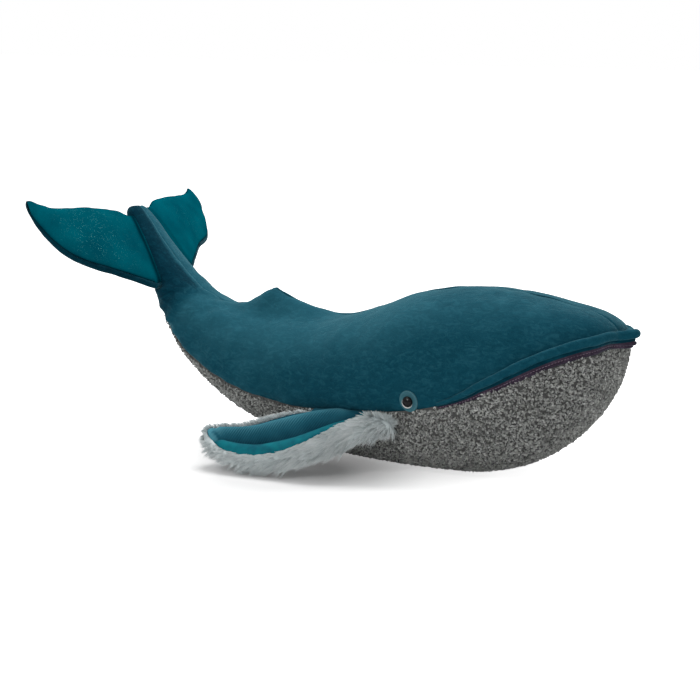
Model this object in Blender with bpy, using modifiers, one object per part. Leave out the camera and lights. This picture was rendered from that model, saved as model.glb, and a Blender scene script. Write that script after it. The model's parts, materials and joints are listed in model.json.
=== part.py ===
"""Plush whale: sewn covers over stuffing, with hinged fins, flukes and tail.

Metres, +X to the nose, +Y to the whale's left, +Z up. The origin is the middle
of the flattened patch under the throat on which the whale rests.
"""
import math

import bmesh
import bpy
import numpy as np
from mathutils import Matrix, Vector

# Driving sizes of the body
BODY_LENGTH = 0.582
HEAD_HEIGHT = 0.183
BODY_HALF_WIDTH = 0.0895
NOSE_REACH = 0.186
DORSAL_HEIGHT = 0.030
REST_FLAT_DEPTH = 0.0005

# Fabrics, and the gap that touching pieces keep
VELVET = 0.002
BOUCLE = 0.004
CLEARANCE = 0.0003
STUFFING_GAP = 0.0009

# Lips: velvet roll above, two plum rolls below
UPPER_LIP_RADIUS = 0.0047
LOWER_LIP_RADIUS = 0.0022
LIP_BAND_RADIUS = 0.0018
MOUTH_GAP = 0.0015
LIP_SIDE_GAP = 0.0012
LIP_REACH = 0.012

# Safety eye, its white disc, suede patch and locking washer
EYE_RADIUS = 0.0056
EYE_DOME_HEIGHT = 0.0042
EYE_POST_RADIUS = 0.0018
EYE_POST_LENGTH = 0.0085
EYE_DISC_RADIUS = 0.0068
EYE_DISC_THICKNESS = 0.0006
EYE_PATCH_LENGTH = 0.023
EYE_PATCH_HEIGHT = 0.021
EYE_PATCH_THICKNESS = 0.001
EYE_SEGMENTS = 18
WASHER_RADIUS = 0.0075
WASHER_THICKNESS = 0.0014
WASHER_SINK_SHARE = 3.5

# Pectoral fins
FIN_SWEEP = 0.139
FIN_REACH = 0.062
FIN_DROP = 0.044
FIN_HALF_THICKNESS = 0.008
FIN_CREST = 0.0022
FIN_FOLD = 0.0008
FUR_PILE = 0.011
FUR_ROOT_SHARE = 0.22

# Seams of fins and flukes: half the gap between covers, and the layer of
# turned-in fabric between the covers and the stuffing
LIMB_SEAM_GAP = 1.2 * CLEARANCE
SEAM_LAYER = 0.001
LIMB_POWER_SHARE = 0.8
TIP_SHARE = 0.3
LIMB_ROOT_SHARE = 0.1
LIMB_CORE_END_SHARE = 0.5
LIMB_CORE_ROWS = 9
LIMB_CORE_COLUMNS = 12
LIMB_COVER_ROWS = 11

# Tail flukes
FLUKE_CHORD = 0.092
FLUKE_REACH = 0.127
FLUKE_HALF_THICKNESS = 0.0068
FLUKE_FABRIC = 0.0015
FLUKE_DROOP = math.radians(10)

# The body in cross-sections from nose to tail. A row has the ridge point, the
# keel point, the half width, and the turn of the side seam, in degrees from
# the ridge. Along the body, shares are of BODY_LENGTH, up they are of
# HEAD_HEIGHT from the lowest keel point, and across of BODY_HALF_WIDTH.
section_shares = (
    (0.000, 0.793, 0.001, 0.765, 0.07, 90),
    (0.007, 0.839, 0.007, 0.726, 0.27, 88),
    (0.020, 0.873, 0.011, 0.636, 0.45, 84),
    (0.039, 0.902, 0.020, 0.533, 0.59, 80),
    (0.063, 0.924, 0.037, 0.413, 0.72, 78),
    (0.094, 0.943, 0.063, 0.296, 0.82, 79),
    (0.136, 0.965, 0.103, 0.171, 0.9, 83),
    (0.184, 0.984, 0.157, 0.071, 0.955, 88.5),
    (0.244, 0.992, 0.229, 0.012, 0.99, 94),
    (0.313, 0.976, 0.308, 0.000, 1, 99),
    (0.382, 0.926, 0.389, 0.000, 0.98, 101),
    (0.456, 0.839, 0.478, 0.013, 0.925, 101),
    (0.528, 0.768, 0.565, 0.046, 0.845, 102),
    (0.597, 0.741, 0.647, 0.106, 0.755, 105),
    (0.669, 0.736, 0.726, 0.193, 0.665, 109),
    (0.734, 0.747, 0.793, 0.311, 0.575, 114),
    (0.792, 0.775, 0.852, 0.454, 0.485, 122),
    (0.838, 0.834, 0.896, 0.625, 0.405, 138),
    (0.877, 0.927, 0.927, 0.805, 0.343, 166),
    (0.915, 1.047, 0.953, 0.973, 0.282, 180),
    (0.951, 1.172, 0.978, 1.130, 0.218, 180),
    (0.984, 1.281, 1.000, 1.265, 0.135, 180),
    (0.996, 1.309, 1.003, 1.301, 0.045, 180),
)
RIDGE_POWER_SHARE = 2.15
KEEL_POWER_SHARE = 2.5
MOUTH_CORNER_SHARE = 8.35
MOUTH_CROWD_SHARE = 1.3
LIP_END_SHARE = 0.17
LIP_TAPER_SHARE = 0.24
LIP_CORNER_SHARE = 0.42
TAIL_BEND_SHARE = 16.0
BEND_RADIUS_SHARE = 1.62
BEND_SECTOR = math.radians(50)
TORSO_END_SHARE = 17.4
TAIL_START_SHARE = 15.65
TAIL_SEAM_END_SHARE = 18.6
TAIL_TIP_SHARE = 21.4
DORSAL_PEAK_SHARE = 14.5
DORSAL_FRONT_SHARE = 2.6
DORSAL_REAR_SHARE = 1.35
DORSAL_WIDTH_SHARE = 0.21

# Rows and columns of points that a cover has, and the search for its edges
TURN_STEP = math.radians(0.25)
ROW_STEP_SHARE = 0.25
PLACE_STEP_SHARE = 0.02
RIDGE_START_SHARE = 0.2
MOUTH_ROWS = 17
FLANK_ROWS = 9
LOIN_ROWS = 6
TAIL_ROWS = 6
BACK_COLUMNS = 9
BELLY_COLUMNS = 11
TAIL_BELLY_COLUMNS = 6

# Eye on the side of the head
EYE_PLACE_SHARE = 9.06
EYE_TURN_SHARE = 94.2

# A fin in stations from root to tip. A row has the front edge and the rear
# edge as shares of FIN_SWEEP back, FIN_REACH out and FIN_DROP down from the
# middle of the root, then the share of FIN_HALF_THICKNESS.
fin_shares = (
    (-0.36, 0.00, 0.00, 0.36, 0.00, 0.00, 0.62),
    (-0.16, 0.30, 0.28, 0.52, 0.09, 0.12, 0.80),
    (0.10, 0.70, 0.68, 0.69, 0.26, 0.32, 1.00),
    (0.40, 0.95, 0.95, 0.85, 0.41, 0.48, 1.00),
    (0.68, 1.06, 0.93, 0.97, 0.56, 0.50, 0.85),
    (0.88, 1.03, 0.75, 1.03, 0.72, 0.51, 0.62),
    (0.97, 0.96, 0.62, 1.03, 0.86, 0.54, 0.28),
)
FIN_FRONT_PLACE_SHARE = 9.65
FIN_REAR_PLACE_SHARE = 11.35
FIN_SEAM_TURN_SHARE = 106
FUR_TIP_TURN_SHARE = 0.13
FUR_ROOT_TURN_SHARE = 0.30
FUR_CLIMB_START_SHARE = 4.2
FUR_CLIMB_END_SHARE = 1.8
FIN_FOLD_TURN_SHARE = 0.42
FUR_REAR_TURN_SHARE = 0.93
FIN_PANEL_END_SHARE = 5.55
PANEL_CLOSING_SHARE = 1.6
PILE_RISE_SHARE = 0.9

# A fluke lobe in stations from root to tip: shares of FLUKE_REACH out, of
# FLUKE_CHORD for the front edge and the rear edge, of FLUKE_HALF_THICKNESS.
fluke_shares = (
    (0.00, 0.03, 1.00, 0.62),
    (0.16, 0.12, 1.09, 0.88),
    (0.40, 0.25, 1.13, 1.00),
    (0.63, 0.37, 1.13, 0.98),
    (0.78, 0.50, 1.14, 0.85),
    (0.89, 0.68, 1.18, 0.66),
    (0.96, 0.88, 1.23, 0.48),
    (1.00, 1.05, 1.23, 0.22),
)
FLUKE_FRONT_PLACE_SHARE = 17.9
FLUKE_REAR_PLACE_SHARE = 20.9

TEAL = (0.009, 0.075, 0.107)
SIDES = (("right", -1), ("left", 1))


def spline(shares, place):
    """Row of a table at a fractional place, on a Catmull-Rom curve."""
    rows = np.asarray(shares, dtype=float)
    last = len(rows) - 1
    place = min(max(place, 0.0), last)
    low = min(int(place), last - 1)
    step = place - low
    before, start, end, after = (rows[min(max(low + k, 0), last)] for k in (-1, 0, 1, 2))
    cubic = 3 * (start - end) + after - before
    square = 2 * before - 5 * start + 4 * end - after
    return start + 0.5 * step * (end - before + step * (square + step * cubic))


def unit(vector):
    return vector / np.linalg.norm(vector)


def body_row(place):
    """Ridge point, keel point, half width and seam turn at a place."""
    ridge_x, ridge_z, keel_x, keel_z, width, seam = spline(section_shares, place)
    lowest = BOUCLE - REST_FLAT_DEPTH
    ridge = np.array((NOSE_REACH - ridge_x * BODY_LENGTH, 0.0, lowest + ridge_z * HEAD_HEIGHT))
    keel = np.array((NOSE_REACH - keel_x * BODY_LENGTH, 0.0, lowest + keel_z * HEAD_HEIGHT))
    return ridge, keel, width * BODY_HALF_WIDTH, math.radians(min(seam, 180))


def dorsal_lift(place, turn):
    """How far the little dorsal fin raises the back."""
    reach = DORSAL_FRONT_SHARE if place < DORSAL_PEAK_SHARE else DORSAL_REAR_SHARE
    along = max(0.0, 1 - abs(place - DORSAL_PEAK_SHARE) / reach)
    return DORSAL_HEIGHT * along ** 1.5 * math.exp(-(turn / DORSAL_WIDTH_SHARE) ** 2)


def form_point(place, turn):
    """Point where stuffing meets cover, turned from the ridge to the left."""
    ridge, keel, width, _ = body_row(place)
    up = (ridge - keel) / 2
    rise, spread = math.cos(turn), math.sin(turn)
    power = 2 / (RIDGE_POWER_SHARE if rise > 0 else KEEL_POWER_SHARE)
    rise = math.copysign(abs(rise) ** power, rise)
    spread = math.copysign(abs(spread) ** power, spread)
    lift = dorsal_lift(place, math.remainder(turn, math.tau))
    return (ridge + keel) / 2 + up * rise + unit(up) * lift + np.array((0, width * spread, 0))


def form_normal(place, turn):
    step = 0.02
    start = max(place - step, 0)
    along = form_point(start + 2 * step, turn) - form_point(start, turn)
    across = form_point(place, turn + step) - form_point(place, turn - step)
    return unit(np.cross(across, along))


def skin_point(place, turn, lift=0.0):
    """Point at a height above the stuffing."""
    point = form_point(place, turn)
    return point + lift * form_normal(place, turn) if lift else point


def seam_margin(place, turn, gap=CLEARANCE / 2):
    """Turn that takes a cover's edge half a gap away from its seam."""
    step = 0.02
    across = form_point(place, turn + step) - form_point(place, turn - step)
    return gap * 2 * step / np.linalg.norm(across)


def mouth_places():
    """Places along the mouth, crowded towards the nose."""
    angles = [math.pi / 2 * k / (MOUTH_ROWS - 1) for k in range(MOUTH_ROWS)]
    return [MOUTH_CORNER_SHARE * math.sin(angle) ** MOUTH_CROWD_SHARE for angle in angles]


def mouth_line():
    """The mouth from its right corner round the nose to its left one."""
    places = mouth_places()
    stations = [(place, -1) for place in reversed(places)] + [(place, 1) for place in places]
    points = []
    for place, side in stations:
        turn = side * body_row(place)[3]
        points.append((form_point(place, turn), form_normal(max(place, 0.3), turn)))
    return points


def lip_swell(share):
    """Share of its radius that a lip has, thin at both corners of the mouth."""
    from_corner = min(share, 1 - share) / LIP_TAPER_SHARE
    swell = math.sin(min(from_corner, 1) * math.pi / 2)
    return LIP_CORNER_SHARE + (1 - LIP_CORNER_SHARE) * swell


def lip_route(radius, offset):
    """Centres and radii of a lip that lies an offset above the mouth line."""
    line = mouth_line()
    last = len(line) - 1
    centres, radii = [], []
    for k, (point, normal) in enumerate(line):
        along = unit(line[min(k + 1, last)][0] - line[max(k - 1, 0)][0])
        upward = unit(np.cross(along, normal))
        upward = upward if upward[2] > 0 else -upward
        swell = lip_swell(k / last)
        centres.append(point + upward * offset * swell + normal * radius * swell)
        radii.append(radius * swell)
    return centres, radii


def upper_lip_route():
    return lip_route(UPPER_LIP_RADIUS, MOUTH_GAP / 2 + UPPER_LIP_RADIUS)


def lower_lip_route():
    return lip_route(LOWER_LIP_RADIUS, -MOUTH_GAP / 2 - LOWER_LIP_RADIUS)


def lip_band_route():
    below = MOUTH_GAP / 2 + 2 * LOWER_LIP_RADIUS + LIP_BAND_RADIUS + 2 * CLEARANCE
    return lip_route(LIP_BAND_RADIUS, -below)


def clear_of_lip(point, route, way):
    """Whether a cover's edge stays beside the lip, above it (way 1) or below it (-1).

    Behind the mouth's corner the way is 0, and either side will do.
    """
    centres, radii = route
    starts, steps = np.array(centres[:-1]), np.diff(centres, axis=0)
    shares = np.sum((point - starts) * steps, axis=1) / np.sum(steps ** 2, axis=1)
    shares = np.clip(shares, 0, 1)
    sizes = np.array(radii[:-1]) + np.diff(radii) * shares
    offsets = point - starts - steps * shares[:, None]
    gaps = np.linalg.norm(offsets, axis=1)
    nearest = np.argmin(gaps)
    if gaps[nearest] < LIP_REACH and way * offsets[nearest][2] < 0:
        return False
    return bool(np.all(gaps >= np.hypot(sizes + LIP_SIDE_GAP, sizes)))


def back_edge_turn(place):
    """Turn of the back cover's lower edge: at the side seam, or above the lip."""
    seam = body_row(place)[3]
    lowest = min(seam, math.pi) - seam_margin(place, seam)
    lip = upper_lip_route()
    way = 1 if place <= MOUTH_CORNER_SHARE else 0
    for turn in np.arange(lowest, TURN_STEP, -TURN_STEP):
        if clear_of_lip(form_point(place, turn), lip, way):
            return turn
    return lowest


def belly_edge_turn(place):
    """Turn of the belly cover's upper edge: at the side seam, or below the lips."""
    seam = body_row(place)[3]
    highest = min(seam + seam_margin(place, seam), math.pi)
    band = lip_band_route()
    way = -1 if place <= MOUTH_CORNER_SHARE else 0
    for turn in np.arange(highest, math.pi - TURN_STEP, TURN_STEP):
        if clear_of_lip(form_point(place, turn), band, way):
            return turn
    return highest


def back_turns(place):
    """Turns of the left back cover's columns, from the ridge to its edge."""
    start = seam_margin(max(place, RIDGE_START_SHARE), 0.0)
    end = back_edge_turn(place)
    return list(np.linspace(start, end, BACK_COLUMNS))


def belly_turns(place, columns):
    """Turns of the belly cover's columns, from its left edge to its right one."""
    start = belly_edge_turn(place)
    return list(np.linspace(start, math.tau - start, columns))


def places_between(start, end, count):
    return [start + (end - start) * k / (count - 1) for k in range(count)]


def torso_places():
    """Rows that the torso's covers and stuffing share, so that facets agree."""
    flank = MOUTH_CORNER_SHARE + LIP_END_SHARE
    return (mouth_places()
            + places_between(flank, DORSAL_PEAK_SHARE, FLANK_ROWS)
            + places_between(DORSAL_PEAK_SHARE, TORSO_END_SHARE, LOIN_ROWS)[1:])


def tail_places():
    """Rows that the tail's covers and stuffing share."""
    end = len(section_shares) - 1
    return (places_between(TAIL_START_SHARE, TAIL_SEAM_END_SHARE, TAIL_ROWS)
            + places_between(TAIL_SEAM_END_SHARE, TAIL_TIP_SHARE, TAIL_ROWS)[1:]
            + places_between(TAIL_TIP_SHARE, end, 3)[1:])


def places_from(first, places):
    """Rows from a first place on, which takes the place of a close next one."""
    return [first] + [place for place in places if place > first + ROW_STEP_SHARE]


# Blender objects

def clear_scene():
    for obj in list(bpy.data.objects):
        bpy.data.objects.remove(obj, do_unlink=True)


def make_collection(name):
    collection = bpy.data.collections.new(name)
    bpy.context.scene.collection.children.link(collection)
    return collection


def make_material(name, colour, roughness, metallic=0.0, sheen=0.0, coat=0.0):
    material = bpy.data.materials.new(name)
    material.use_nodes = True
    shader = material.node_tree.nodes["Principled BSDF"]
    shader.inputs["Base Color"].default_value = (*colour, 1)
    shader.inputs["Roughness"].default_value = roughness
    shader.inputs["Metallic"].default_value = metallic
    shader.inputs["Sheen Weight"].default_value = sheen
    shader.inputs["Coat Weight"].default_value = coat
    material.diffuse_color = (*colour, 1)
    return material


def velvet_material(name):
    return make_material(name, TEAL, 0.85, sheen=0.4)


def boucle_material(name):
    return make_material(name, (0.12, 0.125, 0.12), 0.95, sheen=0.2)


def plum_material(name):
    return make_material(name, (0.035, 0.028, 0.042), 0.8, sheen=0.3)


def fur_material(name):
    return make_material(name, (0.27, 0.31, 0.32), 0.9, sheen=0.3)


def ribbed_material(name):
    return make_material(name, (0.022, 0.115, 0.155), 0.8, sheen=0.3)


def satin_material(name):
    return make_material(name, (0.003, 0.11, 0.155), 0.55, sheen=0.2)


def glitter_material(name):
    return make_material(name, (0.003, 0.11, 0.14), 0.6, metallic=0.1)


def suede_material(name):
    return make_material(name, (0.06, 0.15, 0.2), 0.9, sheen=0.3)


def wadding_material(name):
    return make_material(name, (0.85, 0.85, 0.83), 1.0)


def black_plastic(name):
    return make_material(name, (0.004, 0.004, 0.005), 0.08, coat=0.5)


def white_plastic(name):
    return make_material(name, (0.8, 0.8, 0.77), 0.5, coat=0.3)


def clear_plastic(name):
    return make_material(name, (0.75, 0.75, 0.72), 0.5)


class Builder:
    """Adds each finished mesh as a named object with its own material."""

    def __init__(self):
        self.parts = make_collection("plush_whale")
        self.cutters = make_collection("cutters")

    def add(self, name, mesh, material, hinge=None):
        mesh.shade_smooth()
        mesh.materials.append(material(name))
        obj = bpy.data.objects.new(name, mesh)
        self.parts.objects.link(obj)
        hang_on(obj, hinge)
        return obj

    def add_cutter(self, name, mesh):
        obj = bpy.data.objects.new(name, mesh)
        self.cutters.objects.link(obj)
        obj.hide_render = True
        obj.display_type = "WIRE"
        return obj

    def add_hinge(self, name, origin, along, normal, parent=None):
        """Empty on a joint's axis, its X along the axis."""
        along = Vector(along).normalized()
        across = Vector(normal).cross(along).normalized()
        frame = Matrix((along, across, along.cross(across))).transposed().to_4x4()
        frame.translation = Vector(origin)
        hinge = bpy.data.objects.new(name, None)
        hinge.empty_display_size = BODY_HALF_WIDTH
        self.parts.objects.link(hinge)
        hinge.parent = parent
        hinge.matrix_basis = parent_frame(parent).inverted() @ frame
        return hinge


def parent_frame(obj):
    """World matrix of an empty, from its own chain of parents."""
    frame = Matrix.Identity(4)
    while obj is not None:
        frame = obj.matrix_basis @ frame
        obj = obj.parent
    return frame


def hang_on(obj, hinge):
    """Parent an object to a hinge, with its mesh where it was."""
    if hinge is None:
        return
    obj.data.transform(parent_frame(hinge).inverted())
    obj.parent = hinge


def mesh_from(bm, name):
    mesh = bpy.data.meshes.new(name)
    bm.to_mesh(mesh)
    bm.free()
    return mesh


def grid_faces(bm, rows, closed=False, flip=False):
    """Quads between rows of points, closed across into rings if asked."""
    verts = [[bm.verts.new(Vector(point)) for point in row] for row in rows]
    columns = len(rows[0])
    for low, high in zip(verts, verts[1:]):
        for j in range(columns if closed else columns - 1):
            k = (j + 1) % columns
            quad = (low[j], low[k], high[k], high[j])
            bm.faces.new(reversed(quad) if flip else quad)
    return verts


def sheet_mesh(name, rows, flip=False):
    """Open sheet, with any row that shrinks to one point welded."""
    bm = bmesh.new()
    grid_faces(bm, rows, flip=flip)
    weld_points(bm)
    return mesh_from(bm, name)


def weld_points(bm):
    bmesh.ops.remove_doubles(bm, verts=bm.verts, dist=CLEARANCE / 100)
    bmesh.ops.dissolve_degenerate(bm, edges=bm.edges, dist=CLEARANCE / 100)


def ring_mesh(name, rings):
    """Closed solid through rings of points, with a fan at each end."""
    bm = bmesh.new()
    verts = grid_faces(bm, rings, closed=True)
    for ring, points in ((verts[0], rings[0]), (verts[-1], rings[-1])):
        hub = bm.verts.new(Vector(np.mean(points, axis=0)))
        for j, vert in enumerate(ring):
            bm.faces.new((vert, ring[(j + 1) % len(ring)], hub))
    weld_points(bm)
    bmesh.ops.recalc_face_normals(bm, faces=bm.faces)
    return mesh_from(bm, name)


def solidify(obj, thickness, pile_group=None):
    """Give a sheet its thickness, outwards from the stuffing."""
    shell = obj.modifiers.new("thickness", "SOLIDIFY")
    shell.thickness = thickness
    shell.offset = 1
    if pile_group:
        shell.vertex_group = pile_group


def cut(obj, cutter):
    difference = obj.modifiers.new(cutter.name, "BOOLEAN")
    difference.operation = "DIFFERENCE"
    difference.object = cutter


def weld_cuts(obj):
    """Weld the short edges that cuts leave."""
    weld = obj.modifiers.new("weld", "WELD")
    weld.merge_threshold = CLEARANCE / 30


def turned(builder, name, profile, frame, material, closed=False):
    """Object turned about its own Z, the profile's points a radius and a height."""
    bm = bmesh.new()
    verts = [bm.verts.new((radius, 0, height)) for radius, height in profile]
    for pair in zip(verts, verts[1:]):
        bm.edges.new(pair)
    if closed:
        bm.edges.new((verts[-1], verts[0]))
    obj = builder.add(name, mesh_from(bm, name), material)
    obj.matrix_basis = frame
    screw = obj.modifiers.new("turn", "SCREW")
    screw.steps = screw.render_steps = EYE_SEGMENTS
    screw.use_merge_vertices = True
    screw.merge_threshold = CLEARANCE / 100


# Tail bend, flat rest and their cutters

def tail_bend():
    """Pivot, radius and direction of the round joint in the tail stock."""
    ridge, keel, _, _ = body_row(TAIL_BEND_SHARE)
    up = unit(ridge - keel)
    half_height = np.linalg.norm(ridge - keel) / 2
    back = np.array((-up[2], 0, up[0]))
    radius = BEND_RADIUS_SHARE * half_height
    pivot = (ridge + keel) / 2 - back * math.sqrt(radius ** 2 - half_height ** 2)
    return pivot, radius, back


def bend_point(angle, radius):
    """Point at an angle from the tail's direction about the bend's pivot."""
    pivot, _, back = tail_bend()
    up = np.array((back[2], 0, -back[0]))
    return pivot + radius * (math.cos(angle) * back + math.sin(angle) * up)


def tail_space_cutter(builder):
    """Everything behind the round end of the torso."""
    _, radius, _ = tail_bend()
    angles = np.linspace(-BEND_SECTOR, BEND_SECTOR, 41)
    outline = [bend_point(angle, radius) for angle in angles]
    outline += [bend_point(angle, 3 * radius) for angle in (BEND_SECTOR, 0, -BEND_SECTOR)]
    half_width = np.array((0, BODY_HALF_WIDTH, 0))
    bm = bmesh.new()
    face = bm.faces.new([bm.verts.new(Vector(point - half_width)) for point in outline])
    side = bmesh.ops.extrude_face_region(bm, geom=[face])
    moved = [item for item in side["geom"] if isinstance(item, bmesh.types.BMVert)]
    bmesh.ops.translate(bm, verts=moved, vec=Vector(2 * half_width))
    bmesh.ops.recalc_face_normals(bm, faces=bm.faces)
    return builder.add_cutter("tail_space", mesh_from(bm, "tail_space"))


def bend_cylinder_cutter(builder):
    """The round end of the torso with its clearance, taken from the tail."""
    pivot, radius, _ = tail_bend()
    bm = bmesh.new()
    bmesh.ops.create_cone(bm, cap_ends=True, segments=144, depth=2 * BODY_HALF_WIDTH,
                          radius1=radius + CLEARANCE, radius2=radius + CLEARANCE)
    cutter = builder.add_cutter("bend_cylinder", mesh_from(bm, "bend_cylinder"))
    cutter.matrix_world = Matrix.Translation(Vector(pivot)) @ Matrix.Rotation(math.pi / 2, 4, "X")
    return cutter


def floor_cutter(builder):
    """Space below the flat on which the whale rests."""
    bm = bmesh.new()
    bmesh.ops.create_cube(bm, size=1)
    bmesh.ops.scale(bm, verts=bm.verts, vec=(2 * BODY_LENGTH, BODY_LENGTH, HEAD_HEIGHT))
    cutter = builder.add_cutter("floor", mesh_from(bm, "floor"))
    cutter.location = (0, 0, -HEAD_HEIGHT / 2)
    return cutter


# Body covers and stuffing

def back_cover(builder, name, side, places, hinge=None):
    """Velvet half of the back, from the ridge seam to the side seam."""
    rows = [[form_point(place, side * turn) for turn in back_turns(place)] for place in places]
    obj = builder.add(name, sheet_mesh(name, rows, flip=side < 0), velvet_material, hinge)
    solidify(obj, VELVET)
    return obj


def belly_cover(builder, name, places, columns, hinge=None):
    """Grey cover, from side seam to side seam under the keel."""
    rows = [[form_point(place, turn) for turn in belly_turns(place, columns)] for place in places]
    obj = builder.add(name, sheet_mesh(name, rows), boucle_material, hinge)
    solidify(obj, BOUCLE)
    return obj


def stuffing(builder, name, places, columns, hinge=None):
    """Filling of the body, a little below the points of its covers."""
    rings = []
    for place in places:
        back = back_turns(place)
        turns = back + belly_turns(place, columns) + [-turn for turn in reversed(back)]
        rings.append([skin_point(place, turn, -STUFFING_GAP) for turn in turns])
    return builder.add(name, ring_mesh(name, rings), wadding_material, hinge)


def first_place(turn, lip, way):
    """Place at the nose where a cover's middle comes out from behind the lips."""
    place = 0.0
    while not clear_of_lip(form_point(place, turn), lip, way):
        place += PLACE_STEP_SHARE
    return place + ROW_STEP_SHARE


def torso(builder, tail_space, floor):
    places = torso_places()
    back_places = places_from(first_place(0.0, upper_lip_route(), 1), places)
    belly_places = places_from(first_place(math.pi, lip_band_route(), -1), places)
    covers = [back_cover(builder, f"{word}_back_cover", side, back_places)
              for word, side in SIDES]
    belly = belly_cover(builder, "belly_cover", belly_places, BELLY_COLUMNS)
    core = stuffing(builder, "torso_stuffing", places, BELLY_COLUMNS)
    for obj in (*covers, belly, core):
        cut(obj, tail_space)
    cut(belly, floor)
    weld_cuts(belly)
    return covers, core


def tail(builder, hinge, bend_cylinder):
    places = tail_places()
    covers = [back_cover(builder, f"{word}_tail_cover", side, places, hinge)
              for word, side in SIDES]
    belly = belly_cover(builder, "tail_belly_cover", places[:TAIL_ROWS], TAIL_BELLY_COLUMNS, hinge)
    core = stuffing(builder, "tail_stuffing", places, TAIL_BELLY_COLUMNS, hinge)
    for obj in (*covers, belly, core):
        cut(obj, bend_cylinder)
        weld_cuts(obj)


# Lips

def lip(builder, name, route, material):
    """Sewn roll as a tube along its route, with filled ends."""
    centres, radii = route
    curve = bpy.data.curves.new(name, "CURVE")
    curve.dimensions = "3D"
    curve.bevel_depth = 1
    curve.bevel_resolution = 2
    curve.use_fill_caps = True
    spline_points = curve.splines.new("POLY")
    spline_points.points.add(len(centres) - 1)
    for point, centre, radius in zip(spline_points.points, centres, radii):
        point.co = (*centre, 1)
        point.radius = radius
    curve.materials.append(material(name))
    obj = bpy.data.objects.new(name, curve)
    builder.parts.objects.link(obj)
    return obj


def mouth(builder):
    lip(builder, "upper_lip_roll", upper_lip_route(), velvet_material)
    lip(builder, "lower_lip_roll", lower_lip_route(), plum_material)
    lip(builder, "lower_lip_band", lip_band_route(), plum_material)


# Eyes

def eye_frame(side):
    """Frame on the cover at the eye, its Z out of the head."""
    turn = side * math.radians(EYE_TURN_SHARE)
    normal = Vector(form_normal(EYE_PLACE_SHARE, turn))
    forward = Vector((1, 0, 0))
    across = normal.cross(forward).normalized()
    frame = Matrix((across.cross(normal), across, normal)).transposed().to_4x4()
    frame.translation = Vector(skin_point(EYE_PLACE_SHARE, turn, VELVET))
    return frame


def eye_sizes(turn):
    """Change of place and of turn for a length along and across the head."""
    step = form_point(EYE_PLACE_SHARE + 1, turn) - form_point(EYE_PLACE_SHARE, turn)
    return 1 / np.linalg.norm(step), seam_margin(EYE_PLACE_SHARE, turn, 1.0)


def eye_patch(builder, word, side):
    """Suede oval that follows the head, with a hole for the eye's post."""
    centre = side * math.radians(EYE_TURN_SHARE)
    place_size, turn_size = eye_sizes(centre)
    hole = EYE_POST_RADIUS + CLEARANCE
    rows = []
    for k in range(4):
        share = k / 3
        length = hole + (EYE_PATCH_LENGTH / 2 - hole) * share
        height = hole + (EYE_PATCH_HEIGHT / 2 - hole) * share
        angles = [math.tau * j / 20 for j in range(20)]
        rows.append([skin_point(EYE_PLACE_SHARE + length * place_size * math.cos(angle),
                                centre + height * turn_size * math.sin(angle),
                                VELVET + CLEARANCE) for angle in angles])
    bm = bmesh.new()
    grid_faces(bm, rows, closed=True, flip=False)
    name = f"{word}_eye_patch"
    obj = builder.add(name, mesh_from(bm, name), suede_material)
    solidify(obj, EYE_PATCH_THICKNESS)


def disc_base():
    """Height over the velvet where the white disc lies on the patch."""
    return EYE_PATCH_THICKNESS + 2 * CLEARANCE


def ring_profile(rim, hole, base, top):
    return ((rim, top), (rim, base), (hole, base), (hole, top))


def eye_disc(builder, word, side):
    base = disc_base()
    profile = ring_profile(EYE_DISC_RADIUS, EYE_POST_RADIUS + CLEARANCE,
                           base, base + EYE_DISC_THICKNESS)
    turned(builder, f"{word}_eye_disc", profile, eye_frame(side), white_plastic, closed=True)


def eye_dome(builder, word, side):
    """Black dome with its post, in one piece."""
    base = disc_base() + EYE_DISC_THICKNESS + CLEARANCE
    steps = [math.pi / 2 * k / 5 for k in range(6)]
    profile = [(EYE_RADIUS * math.sin(step), base + EYE_DOME_HEIGHT * math.cos(step))
               for step in steps]
    tip = base - EYE_POST_LENGTH
    shoulder = tip + EYE_POST_RADIUS
    profile += [(EYE_POST_RADIUS, base), (EYE_POST_RADIUS, shoulder),
                (EYE_POST_RADIUS / 2, tip), (0, tip)]
    turned(builder, f"{word}_eye", profile, eye_frame(side), black_plastic)


def head_crown():
    """How far the head falls away from flat within the washer's radius."""
    turn = math.radians(EYE_TURN_SHARE)
    centre, normal = form_point(EYE_PLACE_SHARE, turn), form_normal(EYE_PLACE_SHARE, turn)
    place_size, turn_size = eye_sizes(turn)
    rim = [form_point(EYE_PLACE_SHARE + WASHER_RADIUS * place_size * math.cos(angle),
                      turn + WASHER_RADIUS * turn_size * math.sin(angle))
           for angle in np.linspace(0, math.tau, EYE_SEGMENTS)]
    return max(np.dot(centre - point, normal) for point in rim)


def washer_top():
    """Height over the velvet of the washer that holds the eye from inside."""
    return -VELVET - CLEARANCE - WASHER_SINK_SHARE * head_crown()


def eye_washer(builder, word, side):
    top = washer_top()
    profile = ring_profile(WASHER_RADIUS, EYE_POST_RADIUS + CLEARANCE,
                           top - WASHER_THICKNESS, top)
    turned(builder, f"{word}_eye_washer", profile, eye_frame(side), clear_plastic, closed=True)


def eye_cutter(builder, name, radius, bottom, top, frame):
    bm = bmesh.new()
    bmesh.ops.create_cone(bm, cap_ends=True, segments=24, radius1=radius, radius2=radius,
                          depth=top - bottom)
    cutter = builder.add_cutter(name, mesh_from(bm, name))
    cutter.matrix_world = frame @ Matrix.Translation((0, 0, (top + bottom) / 2))
    return cutter


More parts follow.
